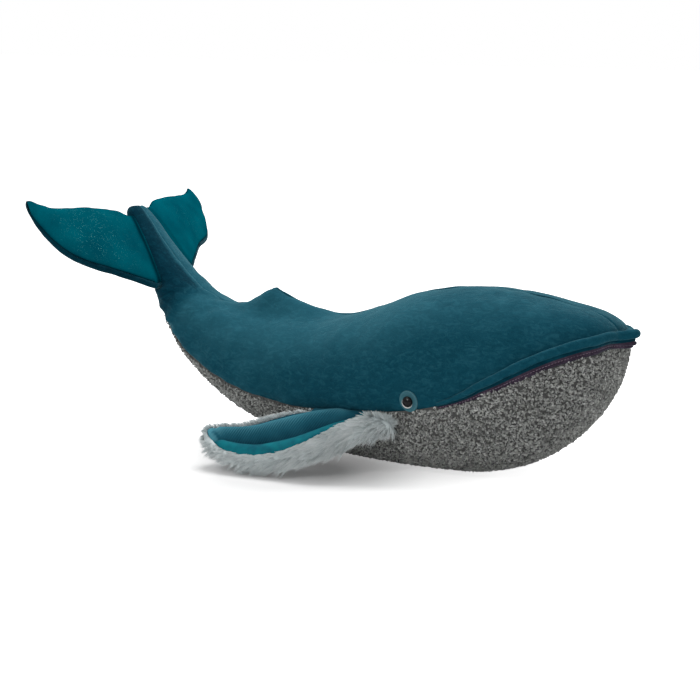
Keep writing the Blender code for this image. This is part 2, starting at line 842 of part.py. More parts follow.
def eyes(builder, covers, core):
    for (word, side), cover in zip(SIDES, covers):
        eye_patch(builder, word, side)
        eye_disc(builder, word, side)
        eye_dome(builder, word, side)
        eye_washer(builder, word, side)
        frame = eye_frame(side)
        hole = EYE_POST_RADIUS + CLEARANCE
        reach = EYE_POST_LENGTH
        cut(cover, eye_cutter(builder, f"{word}_post_hole", hole, -reach, reach, frame))
        pocket = WASHER_RADIUS + CLEARANCE
        floor = -EYE_POST_LENGTH - CLEARANCE
        cut(core, eye_cutter(builder, f"{word}_washer_pocket", pocket, floor, reach, frame))
        weld_cuts(cover)
    weld_cuts(core)


# Fins and flukes: lofts of flat sections that end round about their hinge

def body_samples(lift):
    """Points over the left side of the covered body."""
    places = np.linspace(8, len(section_shares) - 1.5, 120)
    turns = np.linspace(0.9, 2.6, 50)
    return np.array([skin_point(place, turn, lift) for place in places for turn in turns])


def stand_off(start, end, outward, radius, lift):
    """Shift that keeps a round root edge clear of the covered body."""
    body = body_samples(lift)
    shift = 0.0
    for share in np.linspace(0, 1, 13):
        centre = start + (end - start) * share
        while np.linalg.norm(body - centre - outward * shift, axis=1).min() < radius:
            shift += CLEARANCE / 2
    return outward * shift


class Limb:
    """A fin or fluke lobe, worked out on the left and mirrored by its side sign.

    A station is a front edge point, a rear edge point and a half thickness.
    Places run from -1, tucked in below the hinge line, over 0 at the root to
    the last station at the tip. Turns run from the front edge over the top.
    """

    def __init__(self, side, stations, up, outward, crease=None):
        self.side = side
        self.stations = stations
        self.up = up
        self.outward = outward
        self.crease = crease
        self.last = len(stations) - 1

    def point(self, place, turn, inset=0.0):
        station = spline(self.stations, max(place, 0.0))
        front, rear, thickness = station[:3], station[3:6], station[6]
        tuck = math.pi / 2 * max(-place, 0.0)
        half_chord = (front - rear) / 2
        half_chord *= 1 - 2 * inset / np.linalg.norm(half_chord)
        height = math.copysign(abs(math.sin(turn)) ** LIMB_POWER_SHARE, math.sin(turn))
        tucked = height * math.cos(tuck) * self.up - abs(height) * math.sin(tuck) * self.outward
        point = (front + rear) / 2 + half_chord * math.cos(turn) + (thickness - inset) * tucked
        if self.crease:
            point = point + self.up * math.cos(tuck) * self.crease(place, turn)
        return point * np.array((1, self.side, 1))

    def tip(self):
        """Point where the covers close, just beyond the last station."""
        near = self.point(self.last - 0.5, 0) + self.point(self.last - 0.5, math.pi)
        end = self.point(self.last, 0) + self.point(self.last, math.pi)
        return end / 2 + (end - near) / 2 * TIP_SHARE

    def margin(self, place, turn, gap):
        """Turn that takes an edge a gap away."""
        step = 0.02
        across = self.point(place, turn + step) - self.point(place, turn - step)
        return gap * 2 * step / np.linalg.norm(across)

    def first_place(self):
        """Place where the top and under covers start, a clearance apart."""
        return -1 + CLEARANCE / (self.stations[0][6] * math.pi / 2)

    def cover_places(self, end):
        root = list(np.linspace(self.first_place(), 0, 3))
        return root + list(np.linspace(0, end, LIMB_COVER_ROWS))[1:]


def limb_cover_rows(limb, places, edges, columns):
    rows = []
    for place in places:
        start, end = edges(place)
        start += limb.margin(place, start, LIMB_SEAM_GAP)
        end -= limb.margin(place, end, LIMB_SEAM_GAP)
        turns = [start + (end - start) * k / (columns - 1) for k in range(columns)]
        rows.append([limb.point(place, turn) for turn in turns])
    return rows


def limb_stuffing(builder, name, limb, inset, hinge):
    """Filling of a fin or lobe, inside the turned-in seams of its covers."""
    root = list(np.linspace(-1 + LIMB_ROOT_SHARE, 0, 3))
    end = limb.last - LIMB_CORE_END_SHARE
    places = root + list(np.linspace(0, end, LIMB_CORE_ROWS))[1:]
    turns = [math.tau * k / LIMB_CORE_COLUMNS for k in range(LIMB_CORE_COLUMNS)]
    rings = [[limb.point(place, turn, inset) for turn in turns] for place in places]
    builder.add(name, ring_mesh(name, rings), wadding_material, hinge)


# Pectoral fins

def fin_frame():
    """Root middle, forward, outward and upward directions of the left fin."""
    turn = math.radians(FIN_SEAM_TURN_SHARE)
    front = form_point(FIN_FRONT_PLACE_SHARE, turn)
    rear = form_point(FIN_REAR_PLACE_SHARE, turn)
    forward = front - rear
    forward[2] = 0
    forward = unit(forward)
    outward = np.cross((0, 0, 1), forward)
    root_half = fin_shares[0][6] * FIN_HALF_THICKNESS
    radius = root_half + VELVET - CLEARANCE
    middle = (front + rear) / 2
    reach = (fin_shares[0][3] - fin_shares[0][0]) * FIN_SWEEP / 2
    start, end = middle + forward * reach, middle - forward * reach
    return middle + stand_off(start, end, outward, radius, BOUCLE), forward, outward


def fin_stations():
    middle, forward, outward = fin_frame()
    sizes = np.array((FIN_SWEEP, FIN_REACH, FIN_DROP))
    axes = np.array((-forward, outward, (0, 0, -1)))
    stations = []
    for row in fin_shares:
        front = middle + (np.array(row[:3]) * sizes) @ axes
        rear = middle + (np.array(row[3:6]) * sizes) @ axes
        stations.append(np.concatenate((front, rear, (row[6] * FIN_HALF_THICKNESS,))))
    return stations


def fin_crease(place, turn):
    """Fold between the two top covers, and the soft crest behind it."""
    share = turn / math.pi
    along = max(0.0, math.sin(math.pi * min(max(place, 0) / FIN_PANEL_END_SHARE, 1)))
    crest = FIN_CREST * math.exp(-((share - FIN_FOLD_TURN_SHARE - 0.16) / 0.09) ** 2)
    fold = FIN_FOLD * math.exp(-((share - FIN_FOLD_TURN_SHARE) / 0.06) ** 2)
    return along * (crest - fold)


def fur_edge(place):
    """Turn of the fur's front edge, which climbs from the tip to the root."""
    climb = (FUR_CLIMB_START_SHARE - place) / (FUR_CLIMB_START_SHARE - FUR_CLIMB_END_SHARE)
    climb = min(max(climb, 0), 1)
    return math.pi * (FUR_TIP_TURN_SHARE + (FUR_ROOT_TURN_SHARE - FUR_TIP_TURN_SHARE) * climb)


def fold_edge(place):
    return math.pi * FIN_FOLD_TURN_SHARE


def rear_edge(place):
    return math.pi * FUR_REAR_TURN_SHARE


def panel_closing(place, end):
    """Share of their width that the top covers still have at a place."""
    along = min(max(1 - (end - place) / PANEL_CLOSING_SHARE, 0), 1)
    return math.sqrt(1 - along ** 2)


def fin_edges(front, rear, end):
    """Turns of a cover's edges, closing to one line at the end place."""
    middle = math.pi * (FUR_TIP_TURN_SHARE + FUR_REAR_TURN_SHARE) / 2

    def edges(place):
        closing = panel_closing(place, end)
        return (middle + (front(place) - middle) * closing,
                middle + (rear(place) - middle) * closing)

    return edges


def fin_cover(builder, name, limb, hinge, edges, columns, material):
    end = FIN_PANEL_END_SHARE - 0.14
    rows = limb_cover_rows(limb, limb.cover_places(end), edges, columns)
    mesh = sheet_mesh(name, rows, flip=limb.side > 0)
    solidify(builder.add(name, mesh, material, hinge), VELVET)


def pile_share(limb, place, turn):
    """Share of FUR_PILE: long in front, short at the root and at the rear edge."""
    front = 0.5 + 0.5 * math.cos(turn - 0.15)
    root = min(max(place, 0) / PILE_RISE_SHARE, 1)
    pile = 0.5 + 0.5 * front
    return FUR_ROOT_SHARE + (pile - FUR_ROOT_SHARE) * root


def fin_fur(builder, name, limb, hinge):
    """Fur under the fin, wrapped round its edges and over its tip."""
    end = FIN_PANEL_END_SHARE
    top_edges = fin_edges(fur_edge, rear_edge, end)

    def edges(place):
        front, rear = top_edges(place)
        return rear, front + math.tau

    columns = 13
    places = limb.cover_places(end - 0.02) + list(np.linspace(end, limb.last, 3))
    rows = limb_cover_rows(limb, places, edges, columns)
    shares = []
    for place in places:
        rear, front = edges(place)
        shares += [pile_share(limb, place, rear + (front - rear) * k / (columns - 1))
                   for k in range(columns)]
    bm = bmesh.new()
    grid_faces(bm, rows, flip=limb.side > 0)
    pile = bm.verts.layers.deform.verify()
    bm.verts.ensure_lookup_table()
    for vert, share in zip(bm.verts, shares):
        vert[pile][0] = share
    last_row = [bm.verts[len(shares) - columns + j] for j in range(columns)]
    tip = bm.verts.new(Vector(limb.tip()))
    tip[pile][0] = shares[-1]
    for low, high in zip(last_row, last_row[1:]):
        face = (low, high, tip)
        bm.faces.new(reversed(face) if limb.side > 0 else face)
    obj = builder.add(name, mesh_from(bm, name), fur_material, hinge)
    obj.vertex_groups.new(name="pile")
    solidify(obj, FUR_PILE, "pile")


def fins(builder):
    middle, forward, outward = fin_frame()
    stations = fin_stations()
    end = FIN_PANEL_END_SHARE - 0.08
    ribbed = fin_edges(fold_edge, rear_edge, end)
    strip = fin_edges(fur_edge, fold_edge, end)
    for word, side in SIDES:
        mirror = np.array((1, side, 1))
        core = Limb(side, stations, np.array((0, 0, 1.0)), outward)
        limb = Limb(side, stations, np.array((0, 0, 1.0)), outward, fin_crease)
        hinge = builder.add_hinge(f"{word}_fin_hinge", middle * mirror, forward * mirror, (0, 0, 1))
        limb_stuffing(builder, f"{word}_fin_stuffing", core, SEAM_LAYER + FIN_FOLD, hinge)
        fin_cover(builder, f"{word}_fin_ribbed_cover", limb, hinge, ribbed, 7, ribbed_material)
        fin_cover(builder, f"{word}_fin_strip_cover", limb, hinge, strip, 4, satin_material)
        fin_fur(builder, f"{word}_fin_fur", limb, hinge)


# Flukes

def fluke_frame():
    """Lower root point, and the chord, outward and upper directions, on the left."""
    turn = math.radians(90)
    front = skin_point(FLUKE_FRONT_PLACE_SHARE, turn, VELVET)
    rear = skin_point(FLUKE_REAR_PLACE_SHARE, turn, VELVET)
    chord = unit(rear - front)
    across = np.array((0, 1, 0)) - chord * chord[1]
    across = unit(across)
    normal = np.cross(across, chord)
    outward = across * math.cos(FLUKE_DROOP) - normal * math.sin(FLUKE_DROOP)
    radius = fluke_shares[0][3] * FLUKE_HALF_THICKNESS + FLUKE_FABRIC + 2 * CLEARANCE
    shift = stand_off(front, front + chord * FLUKE_CHORD, across, radius, VELVET)
    return front + shift, chord, outward, np.cross(outward, chord)


def fluke_stations():
    root, chord, outward, _ = fluke_frame()
    stations = []
    for out, front, rear, thickness in fluke_shares:
        base = root + outward * out * FLUKE_REACH
        stations.append(np.concatenate((base + chord * front * FLUKE_CHORD,
                                        base + chord * rear * FLUKE_CHORD,
                                        (thickness * FLUKE_HALF_THICKNESS,))))
    return stations


def fluke_cover(builder, name, limb, hinge, start, end, material):
    places = limb.cover_places(limb.last)
    rows = limb_cover_rows(limb, places, lambda place: (start, end), 7)
    rows.append([limb.tip()] * 7)
    mesh = sheet_mesh(name, rows, flip=limb.side > 0)
    solidify(builder.add(name, mesh, material, hinge), FLUKE_FABRIC)


def flukes(builder, tail_hinge):
    root, chord, outward, normal = fluke_frame()
    stations = fluke_stations()
    for word, side in SIDES:
        mirror = np.array((1, side, 1))
        limb = Limb(side, stations, normal, outward)
        hinge = builder.add_hinge(f"{word}_fluke_hinge", (root + chord * FLUKE_CHORD / 2) * mirror,
                                  chord * mirror, normal * mirror, tail_hinge)
        limb_stuffing(builder, f"{word}_fluke_stuffing", limb, SEAM_LAYER, hinge)
        fluke_cover(builder, f"{word}_fluke_top_cover", limb, hinge, 0, math.pi, glitter_material)
        fluke_cover(builder, f"{word}_fluke_under_cover", limb, hinge, math.pi, math.tau,
                    velvet_material)


def build_whale():
    clear_scene()
    builder = Builder()
    tail_space = tail_space_cutter(builder)
    bend_cylinder = bend_cylinder_cutter(builder)
    floor = floor_cutter(builder)
    covers, core = torso(builder, tail_space, floor)
    mouth(builder)
    eyes(builder, covers, core)
    fins(builder)
    pivot, _, back = tail_bend()
    tail_hinge = builder.add_hinge("tail_hinge", pivot, (0, 1, 0), (-back[2], 0, back[0]))
    tail(builder, tail_hinge, bend_cylinder)
    flukes(builder, tail_hinge)


build_whale()
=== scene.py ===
"""Looks of the plush whale: velvet, curly plush, fur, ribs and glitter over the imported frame.

Metres, +X to the nose, +Y to the whale's left, +Z up, as in the CAD.
"""
import itertools
import json
import math

import bpy
import numpy as np
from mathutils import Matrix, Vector


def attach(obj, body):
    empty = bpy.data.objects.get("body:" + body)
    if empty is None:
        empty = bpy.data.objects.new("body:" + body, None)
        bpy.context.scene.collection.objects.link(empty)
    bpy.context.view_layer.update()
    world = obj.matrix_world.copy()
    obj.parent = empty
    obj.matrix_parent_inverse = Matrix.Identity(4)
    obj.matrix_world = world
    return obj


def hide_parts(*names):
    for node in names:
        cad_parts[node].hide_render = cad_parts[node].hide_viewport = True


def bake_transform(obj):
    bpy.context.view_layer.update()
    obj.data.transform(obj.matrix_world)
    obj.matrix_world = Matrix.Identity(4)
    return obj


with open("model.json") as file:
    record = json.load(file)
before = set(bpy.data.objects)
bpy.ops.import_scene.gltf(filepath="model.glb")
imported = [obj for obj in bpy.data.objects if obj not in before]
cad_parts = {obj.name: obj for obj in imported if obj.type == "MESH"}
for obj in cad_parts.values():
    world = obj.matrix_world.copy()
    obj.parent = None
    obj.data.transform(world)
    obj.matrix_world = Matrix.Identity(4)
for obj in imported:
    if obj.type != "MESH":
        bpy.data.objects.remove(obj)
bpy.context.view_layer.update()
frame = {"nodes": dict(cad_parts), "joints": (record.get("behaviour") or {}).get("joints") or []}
JOINTS = {joint["name"]: joint for joint in frame["joints"]}
SIDES = (("right", -1), ("left", 1))

# Body, as in the CAD: places of ridge and keel, half width and the seam's turn
BODY_LENGTH = 0.582
HEAD_HEIGHT = 0.183
BODY_HALF_WIDTH = 0.0895
NOSE_REACH = 0.186
LOWEST = 0.0035
VELVET = 0.002
section_shares = np.array((
    (0.000, 0.793, 0.001, 0.765, 0.07, 90),
    (0.007, 0.839, 0.007, 0.726, 0.27, 88),
    (0.020, 0.873, 0.011, 0.636, 0.45, 84),
    (0.039, 0.902, 0.020, 0.533, 0.59, 80),
    (0.063, 0.924, 0.037, 0.413, 0.72, 78),
    (0.094, 0.943, 0.063, 0.296, 0.82, 79),
    (0.136, 0.965, 0.103, 0.171, 0.9, 83),
    (0.184, 0.984, 0.157, 0.071, 0.955, 88.5),
    (0.244, 0.992, 0.229, 0.012, 0.99, 94),
    (0.313, 0.976, 0.308, 0.000, 1, 99),
    (0.382, 0.926, 0.389, 0.000, 0.98, 101),
    (0.456, 0.839, 0.478, 0.013, 0.925, 101),
    (0.528, 0.768, 0.565, 0.046, 0.845, 102),
    (0.597, 0.741, 0.647, 0.106, 0.755, 105),
    (0.669, 0.736, 0.726, 0.193, 0.665, 109),
    (0.734, 0.747, 0.793, 0.311, 0.575, 114),
    (0.792, 0.775, 0.852, 0.454, 0.485, 122),
    (0.838, 0.834, 0.896, 0.625, 0.405, 138),
    (0.877, 0.927, 0.927, 0.805, 0.343, 166),
    (0.915, 1.047, 0.953, 0.973, 0.282, 180),
    (0.951, 1.172, 0.978, 1.130, 0.218, 180),
    (0.984, 1.281, 1.000, 1.265, 0.135, 180),
    (0.996, 1.309, 1.003, 1.301, 0.045, 180),
))
MOUTH_CORNER = 8.35
DORSAL_HEIGHT = 0.030
DORSAL_PEAK = 14.5
TAIL_END = 21.97

# Fins and flukes, as in the CAD: shares of reach and chord, and of the thickness
FIN_SIZES = np.array((0.139, 0.062, 0.044))
FIN_HALF_THICKNESS = 0.008
fin_shares = np.array((
    (-0.36, 0.00, 0.00, 0.36, 0.00, 0.00, 0.62),
    (-0.16, 0.30, 0.28, 0.52, 0.09, 0.12, 0.80),
    (0.10, 0.70, 0.68, 0.69, 0.26, 0.32, 1.00),
    (0.40, 0.95, 0.95, 0.85, 0.41, 0.48, 1.00),
    (0.68, 1.06, 0.93, 0.97, 0.56, 0.50, 0.85),
    (0.88, 1.03, 0.75, 1.03, 0.72, 0.51, 0.62),
    (0.97, 0.96, 0.62, 1.03, 0.86, 0.54, 0.28),
))
FUR_TIP = 0.13
FIN_FOLD = 0.42
FUR_REAR = 0.89
PANEL_END = 5.70
FLUKE_CHORD = 0.092
FLUKE_REACH = 0.127
FLUKE_HALF_THICKNESS = 0.0068
FLUKE_DROOP = math.radians(10)
FLUKE_SEAM = 0.13 * math.pi
fluke_shares = np.array((
    (0.00, 0.03, 1.00, 0.62),
    (0.16, 0.12, 1.09, 0.88),
    (0.40, 0.25, 1.13, 1.00),
    (0.63, 0.37, 1.13, 0.98),
    (0.78, 0.50, 1.14, 0.85),
    (0.89, 0.68, 1.18, 0.66),
    (0.96, 0.88, 1.23, 0.48),
    (1.00, 1.05, 1.23, 0.22),
))
# how the far fluke is bent in the photo, as shares added to its front and rear
FAR_FRONT = (0.16, 0.15, 0.13, 0.055, 0.045, 0.035, -0.075, -0.15)
FAR_REAR = (0.08, 0.04, -0.02, -0.06, -0.09, -0.12, -0.145, -0.12)
WEB_STEPS = np.linspace(0, 1, 12)[:-1, None, None]
WEB_ROWS = len(WEB_STEPS)

# Eyes
EYE_PLACE = 9.06
EYE_TURN = math.radians(94.2)
PATCH_HALF_LENGTH, PATCH_HALF_HEIGHT = 0.0100, 0.0106
DOME_RADIUS, DOME_HEIGHT, POST_RADIUS = 0.0056, 0.0042, 0.0018

# Pile
CURL_BANDS = (0.35, 3.2, 5.0, 6.2, 7.2, 8.2, 9.2, 10.3, 11.6, 13.2, 15.4, 18.4)
CURL_SPACING = 0.0019
LOCK_SPACING = 0.0021
RIM_LOCK_SPACING = 0.0014
CORNER_LOCKS = 150
LOCK_RADIUS = 0.0017
HAIRS = 10
HAIR_LENGTH = 0.0112


# Numbers

def spline(rows, place):
    """Rows of a table at fractional places, on a Catmull-Rom curve."""
    last = len(rows) - 1
    place = np.clip(np.asarray(place, float), 0, last)
    low = np.minimum(place.astype(int), last - 1)
    step = (place - low)[..., None]
    before, start, end, after = (rows[np.clip(low + k, 0, last)] for k in (-1, 0, 1, 2))
    cubic = 3 * (start - end) + after - before
    square = 2 * before - 5 * start + 4 * end - after
    return start + 0.5 * step * (end - before + step * (square + step * cubic))


def unit(vectors):
    return vectors / np.maximum(np.linalg.norm(vectors, axis=-1, keepdims=True), 1e-12)


def dots(first, second):
    """Dot product of each pair of vectors, kept as a column."""
    return np.einsum("nc,nc->n", first, second)[:, None]


def signed_power(values, power):
    return np.copysign(np.abs(values) ** power, values)


def noise(points, size, seed=0):
    """Smooth noise from -1 to 1 with features of a size."""
    points = np.asarray(points, float) / size
    low = np.floor(points).astype(np.int64)
    part = points - low
    part = part * part * (3 - 2 * part)
    total = np.zeros(points.shape[:-1])
    for corner in itertools.product((0, 1), repeat=3):
        cell = low + corner
        code = (cell[..., 0] * 73856093) ^ (cell[..., 1] * 19349663) ^ (cell[..., 2] * 83492791)
        code = (code + seed * 2654435761) & 0xFFFFFFFF
        code = ((code ^ (code >> 15)) * 2246822519) & 0xFFFFFFFF
        code = ((code ^ (code >> 13)) * 3266489917) & 0xFFFFFFFF
        weight = np.prod(np.where(corner, part, 1 - part), axis=-1)
        total += weight * ((code ^ (code >> 16)) / 0xFFFFFFFF)
    return 2 * total - 1


def bell(values, centre, width):
    return np.exp(-((values - centre) / width) ** 2)


def smooth(values, low, high):
    share = np.clip((values - low) / (high - low), 0, 1)
    return share * share * (3 - 2 * share)


def circle(count):
    """Angles once round."""
    return np.linspace(0, math.tau, count, endpoint=False)


def around(u, v, size, angle):
    """Points at angles and sizes in the plane of two vectors."""
    return (u[..., None, :] * (size * np.cos(angle))[..., None]
            + v[..., None, :] * (size * np.sin(angle))[..., None])


def grid(places, start, end, shares):
    """Places and turns of a grid, which goes from start to end by shares at each place."""
    start, end = (np.broadcast_to(turn, places.shape)[:, None] for turn in (start, end))
    return np.repeat(places[:, None], len(shares), 1), start + (end - start) * shares


def run_across(points):
    """Distance along each row of a grid of points."""
    steps = np.linalg.norm(np.diff(points, axis=1), axis=2)
    return np.concatenate((np.zeros((len(points), 1)), np.cumsum(steps, 1)), 1)


def on_line(at, run, line):
    """Points of a line where a measure of its own points has given values."""
    return np.stack([np.interp(at, run, line[:, k]) for k in range(3)], -1)


# Forms of the body, the fins and the flukes

def body_form(place, turn):
    """Points where stuffing meets cover, turned from the ridge to the left."""
    place, turn = np.broadcast_arrays(np.asarray(place, float), np.asarray(turn, float))
    row = spline(section_shares, place)
    ridge, keel = (np.stack((NOSE_REACH - row[..., k] * BODY_LENGTH, 0 * place,
                             LOWEST + row[..., k + 1] * HEAD_HEIGHT), -1) for k in (0, 2))
    up = (ridge - keel) / 2
    rise, spread = np.cos(turn), np.sin(turn)
    power = np.where(rise > 0, 2 / 2.15, 2 / 2.5)
    rise, spread = signed_power(rise, power), signed_power(spread, power)
    reach = np.where(place < DORSAL_PEAK, 2.6, 1.35)
    along = np.clip(1 - np.abs(place - DORSAL_PEAK) / reach, 0, 1)
    from_ridge = (turn + math.pi) % math.tau - math.pi
    lift = DORSAL_HEIGHT * along ** 1.5 * bell(from_ridge, 0, 0.21)
    points = (ridge + keel) / 2 + up * rise[..., None] + unit(up) * lift[..., None]
    points[..., 1] += row[..., 4] * BODY_HALF_WIDTH * spread
    return points


def seam_turn(place):
    return np.radians(np.minimum(spline(section_shares, place)[..., 5], 180))


def normals(form, place, turn, step=0.015):
    """Outward normals of a form by central differences."""
    along = form(place + step, turn) - form(place - step, turn)
    across = form(place, turn + step) - form(place, turn - step)
    return unit(np.cross(across, along))


def body_normals(place, turn):
    return normals(body_form, np.clip(place, 0.05, 21.95), turn)


class Limb:
    """Form of a fin or fluke, worked out on the left and mirrored by its side."""

    def __init__(self, side, stations, up, outward, crease=None):
        self.side = side
        self.stations = np.array(stations)
        self.up = np.array(up)
        self.outward = np.array(outward)
        self.crease = crease
        self.last = len(stations) - 1

    def form(self, place, turn):
        place, turn = np.broadcast_arrays(np.asarray(place, float), np.asarray(turn, float))
        row = spline(self.stations, np.maximum(place, 0))
        front, rear, thickness = row[..., :3], row[..., 3:6], row[..., 6:7]
        tuck = (math.pi / 2 * np.clip(-place, 0, 1))[..., None]
        height = signed_power(np.sin(turn), 0.8)[..., None]
        tucked = height * np.cos(tuck) * self.up - np.abs(height) * np.sin(tuck) * self.outward
        points = ((front + rear) / 2 + (front - rear) / 2 * np.cos(turn)[..., None]
                  + thickness * tucked)
        if self.crease:
            points = points + self.up * (np.cos(tuck[..., 0]) * self.crease(place, turn))[..., None]
        return points * (1, self.side, 1)

    def normal(self, place, turn):
        place = np.clip(place, -0.9, self.last - 0.02)
        return normals(self.form, place, turn) * -self.side


def fur_edge(place):
    """Turn of the fur's front edge, which climbs from the tip to the root."""
    return math.pi * np.interp(place, (0.2, 1.0, 2.4, 4.2), (0.375, 0.32, 0.21, FUR_TIP))


def fin_fold(place):
    """Share of a half turn at the fold, which runs out to the front near the tip."""
    return FIN_FOLD - 0.24 * smooth(place, 4.3, 5.3)


def fin_crease(place, turn):
    """Fold between the two upper fabrics, the soft crest behind it and the dip behind that."""
    share = (turn % math.tau) / math.pi + FIN_FOLD - fin_fold(place)
    along = np.sin(math.pi * np.clip((place + 0.4) / (PANEL_END + 0.4), 0, 1)) ** 0.7
    return along * (0.0062 * bell(share, FIN_FOLD + 0.16, 0.075)
                    - 0.0032 * bell(share, FIN_FOLD, 0.045)
                    + 0.0014 * bell(share, FIN_FOLD - 0.13, 0.06)
                    - 0.0042 * bell(share, 0.79, 0.085))


def fin_limb(word, side):
    joint = JOINTS[f"{word}_fin_flap"]
    middle = np.array(joint["pos_m"]) * (1, side, 1)
    forward = np.array(joint["axis"])
    forward = unit(forward * np.sign(forward[0])) * (1, side, 1)
    outward = np.cross((0, 0, 1), forward)
    axes = np.array((-forward, outward, (0, 0, -1)))
    stations = [np.concatenate((middle + (row[:3] * FIN_SIZES) @ axes,
                                middle + (row[3:6] * FIN_SIZES) @ axes,
                                (row[6] * FIN_HALF_THICKNESS,))) for row in fin_shares]
    return Limb(side, stations, (0, 0, 1.0), outward, fin_crease)


def fluke_limb(word, side):
    joint = JOINTS[f"{word}_fluke_flap"]
    chord = np.array(joint["axis"])
    chord = unit(chord * np.sign(chord[2])) * (1, side, 1)
    root = np.array(joint["pos_m"]) * (1, side, 1) - chord * FLUKE_CHORD / 2
    across = unit(np.array((0, 1, 0)) - chord * chord[1])
    normal = np.cross(across, chord)
    outward = across * math.cos(FLUKE_DROOP) - normal * math.sin(FLUKE_DROOP)
    stations = []
    for (out, front, rear, thickness), more, less in zip(fluke_shares, FAR_FRONT, FAR_REAR):
        if side > 0:
            front, rear = front + more, rear + less
        base = root + outward * out * FLUKE_REACH
        stations.append(np.concatenate((base + chord * front * FLUKE_CHORD,
                                        base + chord * rear * FLUKE_CHORD,
                                        (thickness * FLUKE_HALF_THICKNESS,))))
    return Limb(side, stations, np.cross(outward, chord), outward)


# Meshes

def place_object(name, data):
    obj = bpy.data.objects.new(name, data)
    bpy.context.scene.collection.objects.link(obj)
    return obj


def make_mesh(name, points, quads, tris=(), tone=None):
    """Object from points and faces turned outward, with a tone for each point if given."""
    points = np.asarray(points, np.float32).reshape(-1, 3)
    quads = np.asarray(quads, np.int32).reshape(-1, 4)
    tris = np.asarray(tris, np.int32).reshape(-1, 3)
    fans = np.concatenate((quads[:, :3], quads[:, (0, 2, 3)], tris))
    a, b, c = (points[fans[:, corner]].astype(float) for corner in range(3))
    if np.einsum("nc,nc->", a, np.cross(b, c)) < 0:
        quads, tris = quads[:, ::-1], tris[:, ::-1]
    corners = np.concatenate((quads.ravel(), tris.ravel()))
    starts = np.concatenate((np.arange(len(quads)) * 4,
                             len(quads) * 4 + np.arange(len(tris)) * 3))
    mesh = bpy.data.meshes.new(name)
    mesh.vertices.add(len(points))
    mesh.vertices.foreach_set("co", points.ravel())
    mesh.loops.add(len(corners))
    mesh.loops.foreach_set("vertex_index", corners)
    mesh.polygons.add(len(starts))
    mesh.polygons.foreach_set("loop_start", starts.astype(np.int32))
    mesh.update(calc_edges=True)
    mesh.validate()
    mesh.shade_smooth()
    if tone is not None:
        layer = mesh.attributes.new("tone", "FLOAT", "POINT")
        layer.data.foreach_set("value", np.asarray(tone, np.float32).ravel())
    return place_object(name, mesh)


def grid_quads(rows, columns, start=0, closed=False):
    """Faces of a grid of points, closed across into rings if asked."""
    index = np.arange(rows * columns).reshape(rows, columns) + start
    if closed:
        index = np.concatenate((index, index[:, :1]), axis=1)
    quads = np.stack((index[:-1, :-1], index[:-1, 1:], index[1:, 1:], index[1:, :-1]), -1)
    return quads.reshape(-1, 4)


def shell(name, outer, inner, tone):
    """Closed shell of fabric between two grids of points."""
    rows, columns = outer.shape[:2]
    count = rows * columns
    index = np.arange(count).reshape(rows, columns)
    rim = np.concatenate((index[0], index[1:, -1], index[-1, -2::-1], index[-2:0:-1, 0]))
    following = np.roll(rim, -1)
    sides = np.stack((following, rim, rim + count, following + count), -1)
    quads = np.concatenate((grid_quads(rows, columns),
                            grid_quads(rows, columns, count)[:, ::-1], sides))
    points = np.concatenate((outer.reshape(-1, 3), inner.reshape(-1, 3)))
    return make_mesh(name, points, quads, tone=np.tile(tone.ravel(), 2))


def tube(name, rings, tone=None):
    """Closed tube through rings of points, with a fan at each end."""
    rows, columns = rings.shape[:2]
    ends = np.stack((rings[0].mean(0), rings[-1].mean(0)))
    first, last = np.arange(columns), (rows - 1) * columns + np.arange(columns)
    hub = np.full(columns, rows * columns)
    fan = np.concatenate((np.stack((np.roll(first, -1), first, hub), -1),
                          np.stack((last, np.roll(last, -1), hub + 1), -1)))
    points = np.concatenate((rings.reshape(-1, 3), ends))
    return make_mesh(name, points, grid_quads(rows, columns, closed=True), fan, tone)


def yarn(name, spines, sizes, tone, sides):
    """Short closed yarns or hairs of a few sides, with a size and tone at each point."""
    count, knots = spines.shape[:2]
    tangent = unit(np.gradient(spines, axis=1))
    side = unit(np.cross(tangent, (0.31, 0.17, 0.93)))
    other = np.cross(tangent, side)
    points = spines[:, :, None, :] + around(side, other, sizes[..., None], circle(sides))
    base = (np.arange(count) * knots * sides)[:, None, None]
    quads = (grid_quads(knots, sides, closed=True)[None] + base).reshape(-1, 4)
    first = np.arange(sides)
    caps = (np.array((first[::-1], first + (knots - 1) * sides))[None] + base).reshape(-1, sides)
    tone = np.clip(np.repeat(tone[..., None], sides, 2), 0, 1)
    if sides == 4:
        return make_mesh(name, points, np.concatenate((quads, caps)), tone=tone)
    return make_mesh(name, points, quads, caps, tone)


def blunt(radii, knots):
    """Sizes along yarns that are thinner at both ends."""
    taper = np.ones(knots)
    taper[0] = taper[-1] = 0.35
    return radii[:, None] * taper


def finish_piece(obj, material, nodes, body=None, blend=None):
    """Give a piece its material, hide the CAD nodes it stands for and attach it to its body; a
    piece with a blend is only baked in place.
    """
    obj.data.materials.append(material)
    if nodes:
        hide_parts(*nodes)
    if blend:
        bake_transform(obj)
    else:
        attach(obj, body)


# Materials

